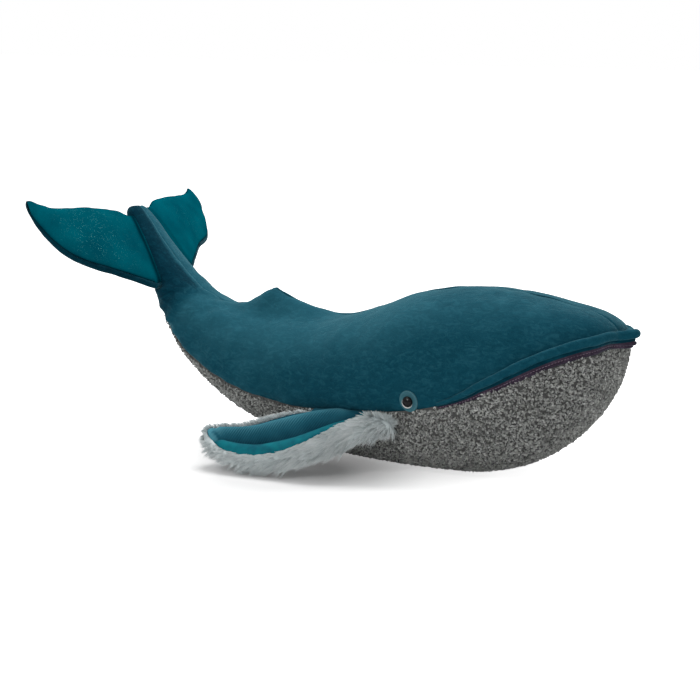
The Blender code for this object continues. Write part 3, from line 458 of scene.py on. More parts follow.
class Shader:
    """Principled material with short ways to add noise, ramps and bump."""

    def __init__(self, name, roughness=0.9, sheen=0.0, sheen_tint=(1, 1, 1), sheen_roughness=0.5,
                 specular=0.3):
        self.material = bpy.data.materials.new(name)
        self.material.use_nodes = True
        self.nodes = self.material.node_tree.nodes
        self.links = self.material.node_tree.links
        self.out = self.nodes["Principled BSDF"]
        values = {"Roughness": roughness, "Sheen Weight": sheen, "Sheen Tint": sheen_tint,
                  "Sheen Roughness": sheen_roughness, "Specular IOR Level": specular}
        for key, value in values.items():
            self.feed(self.out.inputs[key], value)
        self.place = self.nodes.new("ShaderNodeTexCoord").outputs["Object"]

    def feed(self, socket, value):
        """Link an output to a socket, or set a number, vector or linear colour on it."""
        if hasattr(value, "is_linked"):
            self.links.new(value, socket)
        else:
            socket.default_value = (*value, 1) if socket.type == "RGBA" else value

    def add(self, kind, **inputs):
        node = self.nodes.new(kind)
        for key, value in inputs.items():
            self.feed(node.inputs[key], value)
        return node

    def noise(self, size, detail=2.0, roughness=0.5, vector=None, distortion=0.0):
        node = self.add("ShaderNodeTexNoise", Vector=vector or self.place, Scale=1 / size,
                        Detail=detail, Roughness=roughness, Distortion=distortion)
        return node.outputs["Fac"]

    def tone(self):
        node = self.nodes.new("ShaderNodeAttribute")
        node.attribute_name = "tone"
        return node.outputs["Fac"]

    def ramp(self, factor, *stops):
        """Colour ramp, each stop a place and a linear colour or grey."""
        node = self.nodes.new("ShaderNodeValToRGB")
        self.links.new(factor, node.inputs["Fac"])
        band = node.color_ramp
        while len(band.elements) < len(stops):
            band.elements.new(1)
        for element, (place, colour) in zip(band.elements, stops):
            element.position = place
            element.color = (*np.broadcast_to(colour, 3), 1)
        return node.outputs["Color"]

    def mix(self, factor, first, second, kind="MIX"):
        node = self.nodes.new("ShaderNodeMix")
        node.data_type = "RGBA"
        node.blend_type = kind
        for index, value in ((0, factor), (6, first), (7, second)):
            self.feed(node.inputs[index], value)
        return node.outputs[2]

    def math(self, operation, first, second):
        node = self.nodes.new("ShaderNodeMath")
        node.operation = operation
        for index, value in enumerate((first, second)):
            self.feed(node.inputs[index], value)
        return node.outputs[0]

    def colour(self, value):
        self.feed(self.out.inputs["Base Color"], value)

    def bump(self, height, distance, strength):
        last = self.out.inputs["Normal"]
        node = self.add("ShaderNodeBump", Height=height, Distance=distance, Strength=strength)
        if last.is_linked:
            self.links.new(last.links[0].from_socket, node.inputs["Normal"])
        self.links.new(node.outputs[0], last)


def linear(red, green, blue):
    """Linear colour from one written in sRGB, 0 to 255."""
    values = np.array((red, green, blue)) / 255
    return tuple(np.where(values <= 0.04045, values / 12.92, ((values + 0.055) / 1.055) ** 2.4))


def velvet_material(name, dark, middle, light, nap_and_painted_light_share=0.0):
    """Velvet from dark to light; a share of its colour follows the mesh's tone, which carries nap
    patches with painted light and painted shade.
    """
    shader = Shader(name, sheen=0.36, sheen_tint=(0.42, 0.8, 0.86), sheen_roughness=0.35,
                    specular=0.02)
    along = shader.add("ShaderNodeMapping", Vector=shader.place, Scale=(1, 1.5, 2.0)).outputs[0]
    mottle = shader.noise(0.04, 4, 0.65, along, 0.9)
    # the tone carries random nap patches with painted light on top and painted shade on the flanks
    # and tail stock
    if nap_and_painted_light_share:
        shade = shader.tone()
        mottle = shader.mix(nap_and_painted_light_share, mottle, shade)
    colour = shader.ramp(mottle, (0.28, dark), (0.5, middle), (0.72, light))
    crush = shader.noise(0.011, 4, 0.7, along, 1.2)
    tone_layer = shader.ramp(crush, (0.34, dark), (0.5, middle), (0.66, light))
    colour = shader.mix(0.40, colour, tone_layer)
    fibres = shader.noise(0.0009, 2, 0.6)
    colour = shader.mix(0.22, colour, shader.ramp(fibres, (0.3, dark), (0.75, light)))
    if nap_and_painted_light_share:
        # painted shade: the colour is multiplied darker where the tone is low, mostly on the tail
        # stock's sides
        painted_shade = shader.ramp(shade, (0.0, (0.2, 0.58, 0.64)), (0.3, 1))
        colour = shader.mix(1.0, colour, painted_shade, "MULTIPLY")
    shader.colour(colour)
    shader.bump(crush, 0.0014, 0.6)
    shader.bump(fibres, 0.00025, 0.7)
    return shader.material


def boucle_material():
    shader = Shader("grey_boucle", 0.95, sheen=0.15, sheen_roughness=0.6, specular=0.15)
    fibres = shader.noise(0.0006, 2, 0.6)
    # the dark end is painted shade, on the base between the curls and on the low sides of the curls
    tone = shader.ramp(shader.tone(), (0.0, linear(38, 38, 37)), (0.3, linear(112, 114, 112)),
                       (0.65, linear(170, 172, 169)), (1.0, linear(220, 222, 219)))
    grain = shader.ramp(fibres, (0.3, linear(90, 90, 89)), (0.7, linear(200, 202, 199)))
    shader.colour(shader.mix(0.15, tone, grain))
    shader.bump(fibres, 0.0002, 0.6)
    return shader.material


def fur_material():
    shader = Shader("grey_fur", 0.8, sheen=0.25, specular=0.1)
    # the darkest end is painted shade at the hair roots and at the root end of the fin
    shader.colour(shader.ramp(shader.tone(), (0.0, linear(84, 92, 94)),
                              (0.2, linear(168, 178, 180)), (0.5, linear(212, 221, 222)),
                              (1.0, linear(244, 247, 247))))
    return shader.material


def ribbed_material():
    shader = Shader("ribbed_plush", sheen=0.10, sheen_tint=linear(130, 200, 215), specular=0.05)
    blotch = shader.noise(0.02, 2)
    # the dark and light ends carry the painted shade and light of the fold, crest and ribs
    colour = shader.ramp(shader.tone(), (0.0, linear(0, 50, 66)), (0.5, linear(22, 84, 102)),
                         (1.0, linear(84, 150, 166)))
    cloud = shader.ramp(blotch, (0.35, linear(10, 70, 88)), (0.65, linear(50, 116, 134)))
    shader.colour(shader.mix(0.2, colour, cloud))
    shader.bump(shader.noise(0.0007, 2), 0.0002, 0.6)
    return shader.material


def bright_material():
    shader = Shader("bright_teal", 0.8, sheen=0.08, sheen_tint=linear(120, 220, 225),
                    specular=0.08)
    blotch = shader.noise(0.012, 3)
    shader.colour(shader.ramp(blotch, (0.3, linear(0, 86, 102)), (0.7, linear(0, 116, 128))))
    shader.bump(shader.noise(0.0006, 2), 0.00015, 0.6)
    return shader.material


def glitter_material():
    """Glittery fabric: painted glints where the tone is positive, painted shade in its seams and
    root crease where the tone is negative.
    """
    shader = Shader("glitter_fabric", sheen=0.03, sheen_tint=linear(0, 190, 200), specular=0.0)
    blotch = shader.noise(0.03, 3)
    base = shader.ramp(blotch, (0.3, linear(0, 75, 90)), (0.7, linear(0, 93, 107)))
    # painted shade: darker where the tone is negative, along the seams and in the crease at the
    # fluke's root
    seam = shader.math("MULTIPLY", shader.tone(), -1.0)
    base = shader.mix(1.0, base, shader.ramp(seam, (0.0, 1), (1.0, (0.25, 0.22, 0.26))),
                      "MULTIPLY")
    # painted glints: small cells turned light teal, in patches and as far as the tone is positive
    cells = shader.add("ShaderNodeTexVoronoi", Vector=shader.place, Scale=1 / 0.0006)
    painted_glint = shader.math("GREATER_THAN", cells.outputs["Color"], 0.84)
    patch = shader.ramp(shader.noise(0.014, 3), (0.32, 0), (0.60, 1))
    amount = shader.math("MULTIPLY", painted_glint, shader.math("MULTIPLY", patch, shader.tone()))
    shader.colour(shader.mix(shader.math("MULTIPLY", amount, 0.45), base, linear(110, 205, 205)))
    shader.bump(shader.noise(0.0006, 2), 0.0002, 0.7)
    return shader.material


def suede_material():
    shader = Shader("pale_suede", sheen=0.15, specular=0.1)
    grain = shader.noise(0.0012, 3)
    # lighter towards the patch's rim, where the tone is high
    tone_layer = shader.mix(shader.tone(), linear(14, 68, 82), linear(78, 130, 142))
    shade = shader.ramp(grain, (0.3, linear(20, 76, 88)), (0.7, linear(90, 138, 148)))
    shader.colour(shader.mix(0.25, tone_layer, shade))
    shader.bump(grain, 0.0003, 0.5)
    return shader.material


def wadding_material():
    shader = Shader("wadding", 1.0, sheen=0.3)
    cloud = shader.noise(0.006, 3)
    shader.colour(shader.ramp(cloud, (0.3, linear(214, 214, 210)), (0.7, linear(240, 240, 237))))
    shader.bump(cloud, 0.002, 0.5)
    return shader.material


def plastic(name, colour, roughness, specular):
    shader = Shader(name, roughness, specular=specular)
    shader.colour(colour)
    return shader.material


# Covers

def seam_pinch(distance, depth=0.0016, width=0.0022):
    """How far a cover dips at a distance from its seam."""
    return -depth * np.exp(-np.abs(distance) / width)


def edge_pinch(run, depth, width):
    """How far a cover dips along both of its edges."""
    return seam_pinch(run, depth, width) + seam_pinch(run[:, -1:] - run, depth, width)


def stand_off(form, normal, lift, inner=0.2):
    """Outer and inner points of a cloth that stands off a form."""
    return form + normal * lift[..., None], form + normal * (lift * inner)[..., None]


def close_tip(points):
    """Grid of points with two more rows that draw together."""
    tip = points[-1].mean(0)
    return np.concatenate((points, points[-1:] * 0.4 + tip * 0.6,
                           np.repeat(tip[None, None], points.shape[1], 1)))


def close_tail(points, push, share):
    """Grid of points with two more rows that close on the middle plane, pushed out."""
    hub = (points[-1, 0] + points[-1, -1]) / 2 * (1, 0, 1)
    return np.concatenate((points, (points[-1:] + hub) / 2 + push * (share - 0.3),
                           np.repeat((hub + push * share)[None, None], points.shape[1], 1)))


def two_more(tone):
    """Tones for a grid whose last row is followed by two more."""
    return np.concatenate((tone, tone[-1:], tone[-1:]))


def web(seam, knee, root):
    """Rows of fabric that bend from a seam past a knee to a root."""
    back = 1 - WEB_STEPS
    return seam * back ** 2 + knee * 2 * WEB_STEPS * back + root * WEB_STEPS ** 2


# Body

def tail_blend():
    """Blend of fabric from the torso onto the tail."""
    x, _, z = JOINTS["tail_bend"]["pos_m"]
    return "torso", "tail", (x + 0.005, 0, z), (x - 0.075, 0, z + 0.02)


def velvet_half(word, side, material):
    """Half of the back, from the ridge seam to the side seam, over torso and tail."""
    rows, columns = ((430, 110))
    places = 0.25 + (TAIL_END - 0.25) * np.linspace(0, 1, rows) ** 1.08
    turns = seam_turn(places)
    swing = np.cos(math.pi * np.linspace(0, 1, columns))
    place, turn = grid(places, 0, turns, 0.5 - 0.5 * swing * (0.55 + 0.45 * np.abs(swing)))
    form, normal = body_form(place, side * turn), body_normals(place, side * turn)
    from_ridge = run_across(form)
    from_seam = from_ridge[:, -1:] - from_ridge
    ridge_depth = (0.0002 + 0.0011 * (1 - smooth(place, 1.8, 3.8))
                   + 0.0007 * smooth(place, 15, 17))
    lift = VELVET + seam_pinch(from_ridge, ridge_depth, 0.0016) + seam_pinch(from_seam)
    pucker = noise(form[..., (0, 2, 2)] * (1, 1, 0), 0.008, 3 + side)
    lift += 0.0006 * np.exp(-from_seam / 0.008) * pucker
    lift += 0.0011 * noise(form, 0.035, 11 + side) + 0.0005 * noise(form, 0.014, 17 + side)
    loin = smooth(place, 12.5, 14.5) * (1 - smooth(place, 18.5, 20))
    lift += 0.0013 * loin * noise(form * (1.3, 1, 0.6), 0.016, 23 + side)
    share = turn / turns[:, None]
    gather = bell(place, 17.5, 0.9) * smooth(share, 0.2, 0.6)
    lift += 0.0034 * gather * noise(form * (0.8, 1, 1.8), 0.011, 29 + side)
    lift += 0.0022 * smooth(place, 19.6, 21.2) * (1 - smooth(place, 21.5, TAIL_END))
    thinnest = smooth(from_ridge, 0.002, 0.008) * smooth(from_seam, 0.002, 0.008)
    outer, inner = stand_off(form, normal, np.maximum(lift, 0.0015 * thinnest))
    push = unit((outer[-1] - outer[-4]).mean(0) * (1, 0, 1)) * 0.0012
    obj = shell(f"{word}_velvet", close_tail(outer, push, 1), close_tail(inner, push, 0),
                two_more(velvet_nap_and_painted_light(place, share, form, side)))
    finish_piece(obj, material, (f"{word}_back_cover", f"{word}_tail_cover"),
                 blend=tail_blend())


def velvet_nap_and_painted_light(place, share, form, side):
    """Tone of the velvet: random nap patches, with painted light on top and painted shade down the
    flanks, low on the front of the head and on the tail stock.
    """
    patches = (0.13 * noise(form * (1, 1, 1.3), 0.042, 81) + 0.12 * noise(form, 0.019, 83)
               + 0.09 * noise(form, 0.008, 85))
    # painted light on the upper share, stronger from behind the eye on, and painted shade towards
    # the side seam
    upper = 1 - smooth(share + patches, 0.30, 0.85)
    behind = smooth(place, 8.2, 10.2)
    tone = 0.42 + 0.04 * behind + (0.20 + 0.20 * behind) * upper
    # more painted light over the back from the loin on
    tone += 0.12 * smooth(place, 11.8, 13.6)
    # painted shade low on the front of the head
    tone -= 0.12 * (1 - smooth(place, 3.5, 6.5)) * smooth(share, 0.02, 0.2)
    # painted shade on the sides of the tail stock: nearly all of the near side, and the far side
    # below its upper third
    low, high = (0.0, 0.10) if side < 0 else (0.12, 0.35)
    tone -= smooth(place, 16.6, 17.8) * smooth(share, low, high)
    return tone + 0.8 * patches


def mouth_clearance(place):
    """Depth below the mouth line that the lower lips take, down to nothing at the corner."""
    swell = 0.35 + 0.65 * np.sin(np.clip((MOUTH_CORNER - place) / 4, 0, 1) * math.pi / 2)
    return np.where(place < MOUTH_CORNER, 0.0072 * swell, 0.0004)


def belly_surface(rows, columns, low, high):
    """Grid over the grey belly between two places."""
    places = np.linspace(low, high, rows)
    seam = seam_turn(places)
    return grid(places, seam, math.tau - seam, np.linspace(0, 1, columns))


def belly_base(material):
    place, turn = belly_surface(300, 130, 0.3, 18.98)
    form, normal = body_form(place, turn), body_normals(place, turn)
    lift = 0.0014 + edge_pinch(run_across(form), 0.0010, 0.003)
    lift += 0.0003 * noise(form, 0.0024, 5)
    outer, inner = stand_off(form, normal, lift, 0.1)
    outer[..., 2] = np.maximum(outer[..., 2], 0.0010)
    inner[..., 2] = np.maximum(inner[..., 2], 0.0016)
    # the base is toned dark, painted shade in the gaps between the curls
    obj = shell("grey_belly", outer, inner, 0.06 + 0.06 * noise(form, 0.002, 8))
    finish_piece(obj, material, ("belly_cover", "tail_belly_cover"),
                 blend=tail_blend())


def scatter(place, turn, form_of, spacing, seed):
    """Places and turns spread evenly over the area of a form."""
    random = np.random.default_rng(seed)
    form = form_of(place, turn)
    edge_a = form[1:, :-1] - form[:-1, :-1]
    edge_b = form[:-1, 1:] - form[:-1, :-1]
    area = np.linalg.norm(np.cross(edge_a, edge_b), axis=-1)
    wanted = area / spacing ** 2
    counts = np.floor(wanted + random.random(wanted.shape)).astype(int)
    row, column = np.nonzero(counts)
    row, column = (np.repeat(index, counts[row, column]) for index in (row, column))
    a, b = random.random(len(row)), random.random(len(row))

    def blend(values):
        low = values[row, column] * (1 - b) + values[row, column + 1] * b
        high = values[row + 1, column] * (1 - b) + values[row + 1, column + 1] * b
        return low * (1 - a) + high * a

    return blend(place), blend(turn), random


def belly_curls(material):
    """Curls of the grey plush, in bands along the body."""
    for number, (low, high) in enumerate(zip(CURL_BANDS, CURL_BANDS[1:])):
        place, turn = belly_surface(60, 120, low, high)
        place, turn, random = scatter(place, turn, body_form, CURL_SPACING, 100 + number)
        seam = seam_turn(place)
        form, normal = body_form(place, turn), body_normals(place, turn)
        edge = np.minimum(turn - seam, math.tau - seam - turn)
        across = np.linalg.norm(body_form(place, turn + 0.02) - form, axis=1) / 0.02
        keep = edge * across > mouth_clearance(place) + 0.0008
        form, normal = form[keep], normal[keep]
        count = len(form)
        plane = unit(normal * 0.8 + unit(random.normal(size=(count, 3))))
        u = unit(np.cross(plane, unit(random.normal(size=(count, 3)))))
        angle = np.linspace(0, 1, 7) * random.uniform(3.2, 5.4, count)[:, None]
        radii = random.uniform(0.0008, 0.0014, count)[:, None] * np.linspace(1.15, 0.75, 7)
        ring = around(u, np.cross(plane, u), radii, angle)
        lift = random.uniform(0.0016, 0.0032, count)
        spines = (form + normal * lift[:, None])[:, None] + ring
        spines[..., 2] = np.maximum(spines[..., 2], 0.0007)
        light = 0.50 + 0.12 * noise(form, 0.006, 21) + random.normal(0, 0.19, count)
        # painted light on the parts of each curl that stand out and painted shade on the parts that
        # dip towards the base
        light = light[:, None] + 0.22 * np.einsum("nkc,nc->nk", ring, normal) / 0.0012
        sizes = blunt(random.uniform(0.00050, 0.00078, count), 7)
        obj = yarn(f"belly_curls_{number}", spines, sizes, light, 4)
        finish_piece(obj, material, (), body="torso",
                     blend=tail_blend() if high > 13 else None)


# Lips

def mouth_line(count):
    """Points and directions along the mouth from its right corner to its left one."""
    places = MOUTH_CORNER * np.sin(np.linspace(0, math.pi / 2, count)) ** 1.3
    place = np.concatenate((places[::-1], places))
    turn = np.repeat((-1, 1), count) * seam_turn(place)
    point = body_form(place, turn)
    normal = body_normals(np.maximum(place, 0.3), turn)
    for _ in range(12):
        for values in (point, normal):
            values[1:-1] = (values[:-2] + 2 * values[1:-1] + values[2:]) / 4
    along = unit(np.gradient(point, axis=0))
    normal = unit(normal)
    upward = unit(np.cross(along, normal))
    upward = np.where(upward[:, 2:] > 0, upward, -upward)
    return point, normal, upward, run_across(point[None])[0]


def lip_centre(radius, offset, out, nose):
    """Middle line and size of a lip, drawn out at the nose and sagging beyond it."""
    point, normal, upward, run = mouth_line(240)
    share = run / run[-1]
    corner = np.clip(np.minimum(share, 1 - share) / 0.24, 0, 1)
    swell = 0.35 + 0.65 * np.sin(corner * math.pi / 2)
    size = radius * swell
    centre = (point + upward * (offset * swell)[:, None] + normal * (size * out)[:, None]
              + bell(share, 0.5, 0.020)[:, None] * (nose[0], 0, nose[1])
              - bell(share, 0.575, 0.05)[:, None] * (0, 0, 0.004))
    along = unit(np.gradient(centre, axis=0))
    upward = unit(upward - along * dots(upward, along))
    return centre, size, np.cross(along, upward), upward, run


def lip(name, material, nodes, radius, offset, sides, wave, nose):
    """Sewn roll along the mouth, at an offset above its line."""
    centre, size, normal, upward, run = lip_centre(radius, offset, 1.0, nose)
    along = run[:, None] * (1, 0, 0)
    size = size * (1 + wave * noise(along, 0.009, 31) + 0.5 * wave * noise(along, 0.004, 33))
    rings = centre[:, None] + around(upward, normal, size[:, None], circle(sides))
    obj = tube(name, rings, np.full(len(centre) * sides + 2, 0.5))
    finish_piece(obj, material, nodes, body="torso")


def mouth(velvet, plum, dark, thread):
    # dark lining in the slit between the lips, painted shade for the shadow in the gap
    lip("mouth_gap_painted_shade", dark, (), 0.0030, 0.0004, 16, 0.0, (0.0112, 0.0018))
    lip("upper_lip", velvet, ("upper_lip_roll",), 0.0047, 0.0054, 32, 0.05,
        (0.0126, 0.0028))
    lip("lower_lip", plum, ("lower_lip_roll",), 0.0022, -0.0026, 20, 0.08,
        (0.0145, 0.0010))
    lip("lower_lip_edge", plum, ("lower_lip_band",), 0.0017, -0.0061, 20, 0.10,
        (0.0122, 0.0012))
    # stitches along the seam between the two lower rolls
    path = lip_centre(0.0019, -0.0046, 1.75, (0.0130, 0.0010))[0]
    pitch, length, radius = 0.0032, 0.0021, 0.00032
    run = run_across(path[None])[0]
    starts = np.arange(pitch, run[-1] - pitch, pitch)
    spines = on_line(starts[:, None] + np.linspace(-0.5, 0.5, 5) * length, run, path)
    obj = yarn("lower_lip_stitches", spines, blunt(np.full(len(starts), radius), 5),
               np.full(spines.shape[:2], 0.6), 4)
    finish_piece(obj, thread, (), body="torso")


# Eyes

def revolve(name, centre, u, v, w, profile, steps):
    """Object turned about w, from a profile of radii and heights."""
    angle = circle(steps)
    return tube(name, np.array([centre + w * height + around(u, v, radius, angle)
                                for radius, height in profile]))


def eye(word, side, black, white, suede):
    place, turn = np.array(EYE_PLACE), np.array(side * EYE_TURN)
    normal = body_normals(place, turn)
    centre = body_form(place, turn) + normal * VELVET
    forward = unit(np.array((1.0, 0, 0)) - normal * normal[0])
    upward = np.cross(normal, forward)
    upward = upward if upward[2] > 0 else -upward
    # suede oval that leans back a little at the top
    angle = circle(72)
    sizes = np.concatenate((np.linspace(0.02, 0.90, 14), (0.94, 0.97, 0.99, 1.0, 1.0)))
    lifts = np.concatenate((np.full(14, 0.0012), (0.0015, 0.0015, 0.0012, 0.0007, -0.0006)))
    points = []
    for size, lift in zip(sizes, lifts):
        z = PATCH_HALF_HEIGHT * size * np.sin(angle)
        x = PATCH_HALF_LENGTH * size * np.cos(angle) - 0.10 * z
        drop = x ** 2 * 2.5 + z ** 2 * 7.0
        points.append(centre + forward * x[:, None] + upward * z[:, None]
                      + normal * (lift - drop)[:, None])
    tones = np.repeat(0.45 + 0.5 * np.maximum(0, sizes - 0.85) / 0.15, 72)
    patch = tube(f"{word}_eye_patch_suede", np.array(points), np.append(tones, (0.3, 0.3)))
    finish_piece(patch, suede, (f"{word}_eye_patch",), body="torso")
    # white disc, set a little low and back behind the dome
    seat = centre + normal * 0.0012
    low = seat - upward * 0.0012 - forward * 0.0011
    disc = revolve(f"{word}_eye_white", low, forward, upward, normal,
                   ((0.0001, 0.0009), (0.0050, 0.0009), (0.0056, 0.0007), (0.0058, 0.0003),
                    (0.0058, -0.0008), (0.0001, -0.0008)), 40)
    finish_piece(disc, white, (f"{word}_eye_disc",), body="torso")
    dome = [(DOME_RADIUS * math.sin(a), 0.0012 + DOME_HEIGHT * math.cos(a))
            for a in np.linspace(0.001, math.pi / 2, 20)]
    dome += [(0.0054, 0.0009), (POST_RADIUS, 0.0008), (POST_RADIUS, -0.006), (0.0009, -0.007)]
    ball = revolve(f"{word}_eye_dome", seat, forward, upward, normal, dome, 56)
    finish_piece(ball, black, (f"{word}_eye",), body="torso")


# Fins

def panel_edges(front, rear, place, end):
    """Turns of the edges of an upper fabric, which close at the end place."""
    middle = math.pi * (FUR_TIP + FUR_REAR) / 2
    closing = np.sqrt(1 - np.clip((place - (end - 1.1)) / 1.1, 0, 1) ** 2)
    return middle + (front - middle) * closing, middle + (rear - middle) * closing


def seam_above(points, side):
    """Points on the body's side seam straight in from points on a fin's root."""
    places = np.linspace(8.6, 12.4, 80)
    seam = seam_turn(places)
    line = body_form(places, side * seam) + body_normals(places, side * seam) * 0.0012
    line = line[np.argsort(line[:, 0])]
    return on_line(points[..., 0], line[:, 0], line)


def root_blend(word, side):
    """Blend of fabric from the torso onto a fin."""
    pivot = np.array(JOINTS[f"{word}_fin_flap"]["pos_m"])
    outward = np.array((0.096, side * 0.995, 0))
    return "torso", f"{word}_fin", tuple(pivot - outward * 0.0085), tuple(pivot + outward * 0.004)


def fin_panel(word, limb, name, front, rear, material, node, ribs):
    """Upper fabric of a fin between two turns, ribbed if asked."""
    rows, columns = ((220, 230 if ribs else 90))
    places = np.linspace(0, PANEL_END - 0.1, rows)
    start, end = panel_edges(front(places), rear(places), places, PANEL_END - 0.06)
    place, turn = grid(places, start, end, np.linspace(0, 1, columns))
    form, normal = limb.form(place, turn), limb.normal(place, turn)
    # web of fabric from the body's side seam down to the root
    seam = seam_above(form[0], limb.side)
    knee = form[0] * 0.5 + seam * 0.5 + (0, 0, 0.002)
    form = np.concatenate((web(seam, knee, form[0]), form))
    up = unit(normal[0] * 0.5 + (0, 0, 1))
    normal = np.concatenate((unit(normal[0] * WEB_STEPS + up * (1 - WEB_STEPS)), normal))
    lift = 0.0020 + edge_pinch(run_across(form), 0.0013, 0.0016) + 0.0007 * noise(form, 0.018, 41)
    lift[:WEB_ROWS] *= np.linspace(0.3, 1, WEB_ROWS)[:, None]
    tone = 0.42 + 0.12 * noise(form, 0.03, 43)
    tone += 0.60 * np.append(np.zeros(WEB_ROWS), smooth(places, 3.9, 5.1))[:, None]
    if ribs:
        place = np.concatenate((np.zeros((WEB_ROWS, columns)), place))
        share = np.concatenate((np.repeat(turn[:1], WEB_ROWS, 0), turn)) / math.pi
        dip = bell(share, 0.79, 0.08) * smooth(place, 0.3, 1.5) * (1 - smooth(place, 3.4, 4.6))
        # painted light along the crest behind the fold, painted shade in the fold and in the dip
        # behind the crest
        tone += (0.38 * bell(share, FIN_FOLD + 0.17, 0.07) - 0.30 * bell(share, FIN_FOLD, 0.05)
                 - 0.26 * dip)
        across = form[..., 0] * 0.92 + form[..., 1] * limb.side * 0.39
        wave = np.sin(math.tau * across / 0.0023 + 0.5 * noise(form, 0.012, 45))
        wave *= (1 - 0.8 * smooth(place, 3.4, 4.6)) * (1 - 0.5 * smooth(share, 0.66, 0.78))
        lift += 0.00030 * wave
        # painted light on the tops of the ribs and painted shade in the grooves between them
        tone += 0.20 * wave
    obj = shell(name, *stand_off(form, normal, lift), tone)
    finish_piece(obj, material, (node,), blend=root_blend(word, limb.side))


def fur_turns(places):
    start, end = panel_edges(fur_edge(places), math.pi * FUR_REAR, places, PANEL_END)
    return end, start + math.tau


def pile(place, turn):
    """Share of the pile's height, long in front and shorter at the rear edge."""
    front = 0.5 + 0.5 * np.cos(turn - 0.15)
    root = 0.85 + 0.15 * np.clip((place + 0.6) / 1.2, 0, 1)
    rear = 0.28 + 0.32 * smooth(place, 0.2, 2.0)
    return (rear + (1 - rear) * front) * root


def fin_backing(word, limb, material):
    """Fur near its roots, under the hairs."""
    count = 110
    places = np.concatenate((np.linspace(-0.95, 0, 12), np.linspace(0, limb.last, count)[1:]))
    place, turn = grid(places, *fur_turns(places), np.linspace(0, 1, count))
    form, normal = limb.form(place, turn), limb.normal(place, turn)
    lump = noise(form, 0.005, 47)
    lift = 0.0014 + (0.0030 + 0.0012 * lump) * pile(place, turn)
    lift *= np.sin(np.linspace(0.02, math.pi - 0.02, count)) ** 0.35
    lift *= 0.4 + 0.6 * smooth(place, -0.7, 0.4)
    outer = form + normal * lift[..., None]
    outer[..., 2] = np.maximum(outer[..., 2], 0.0008)
    # the backing takes about the hairs' root tone, painted shade under the hairs, with more painted
    # shade at the root end
    tone = 0.38 + 0.18 * two_more(lump)
    tone[:len(place)] -= 0.40 * (1 - smooth(place, -0.6, 0.4))
    obj = shell(f"{word}_fin_backing", close_tip(outer), close_tip(form + normal * 0.0002), tone)
    finish_piece(obj, material, (f"{word}_fin_fur",), body=f"{word}_fin")


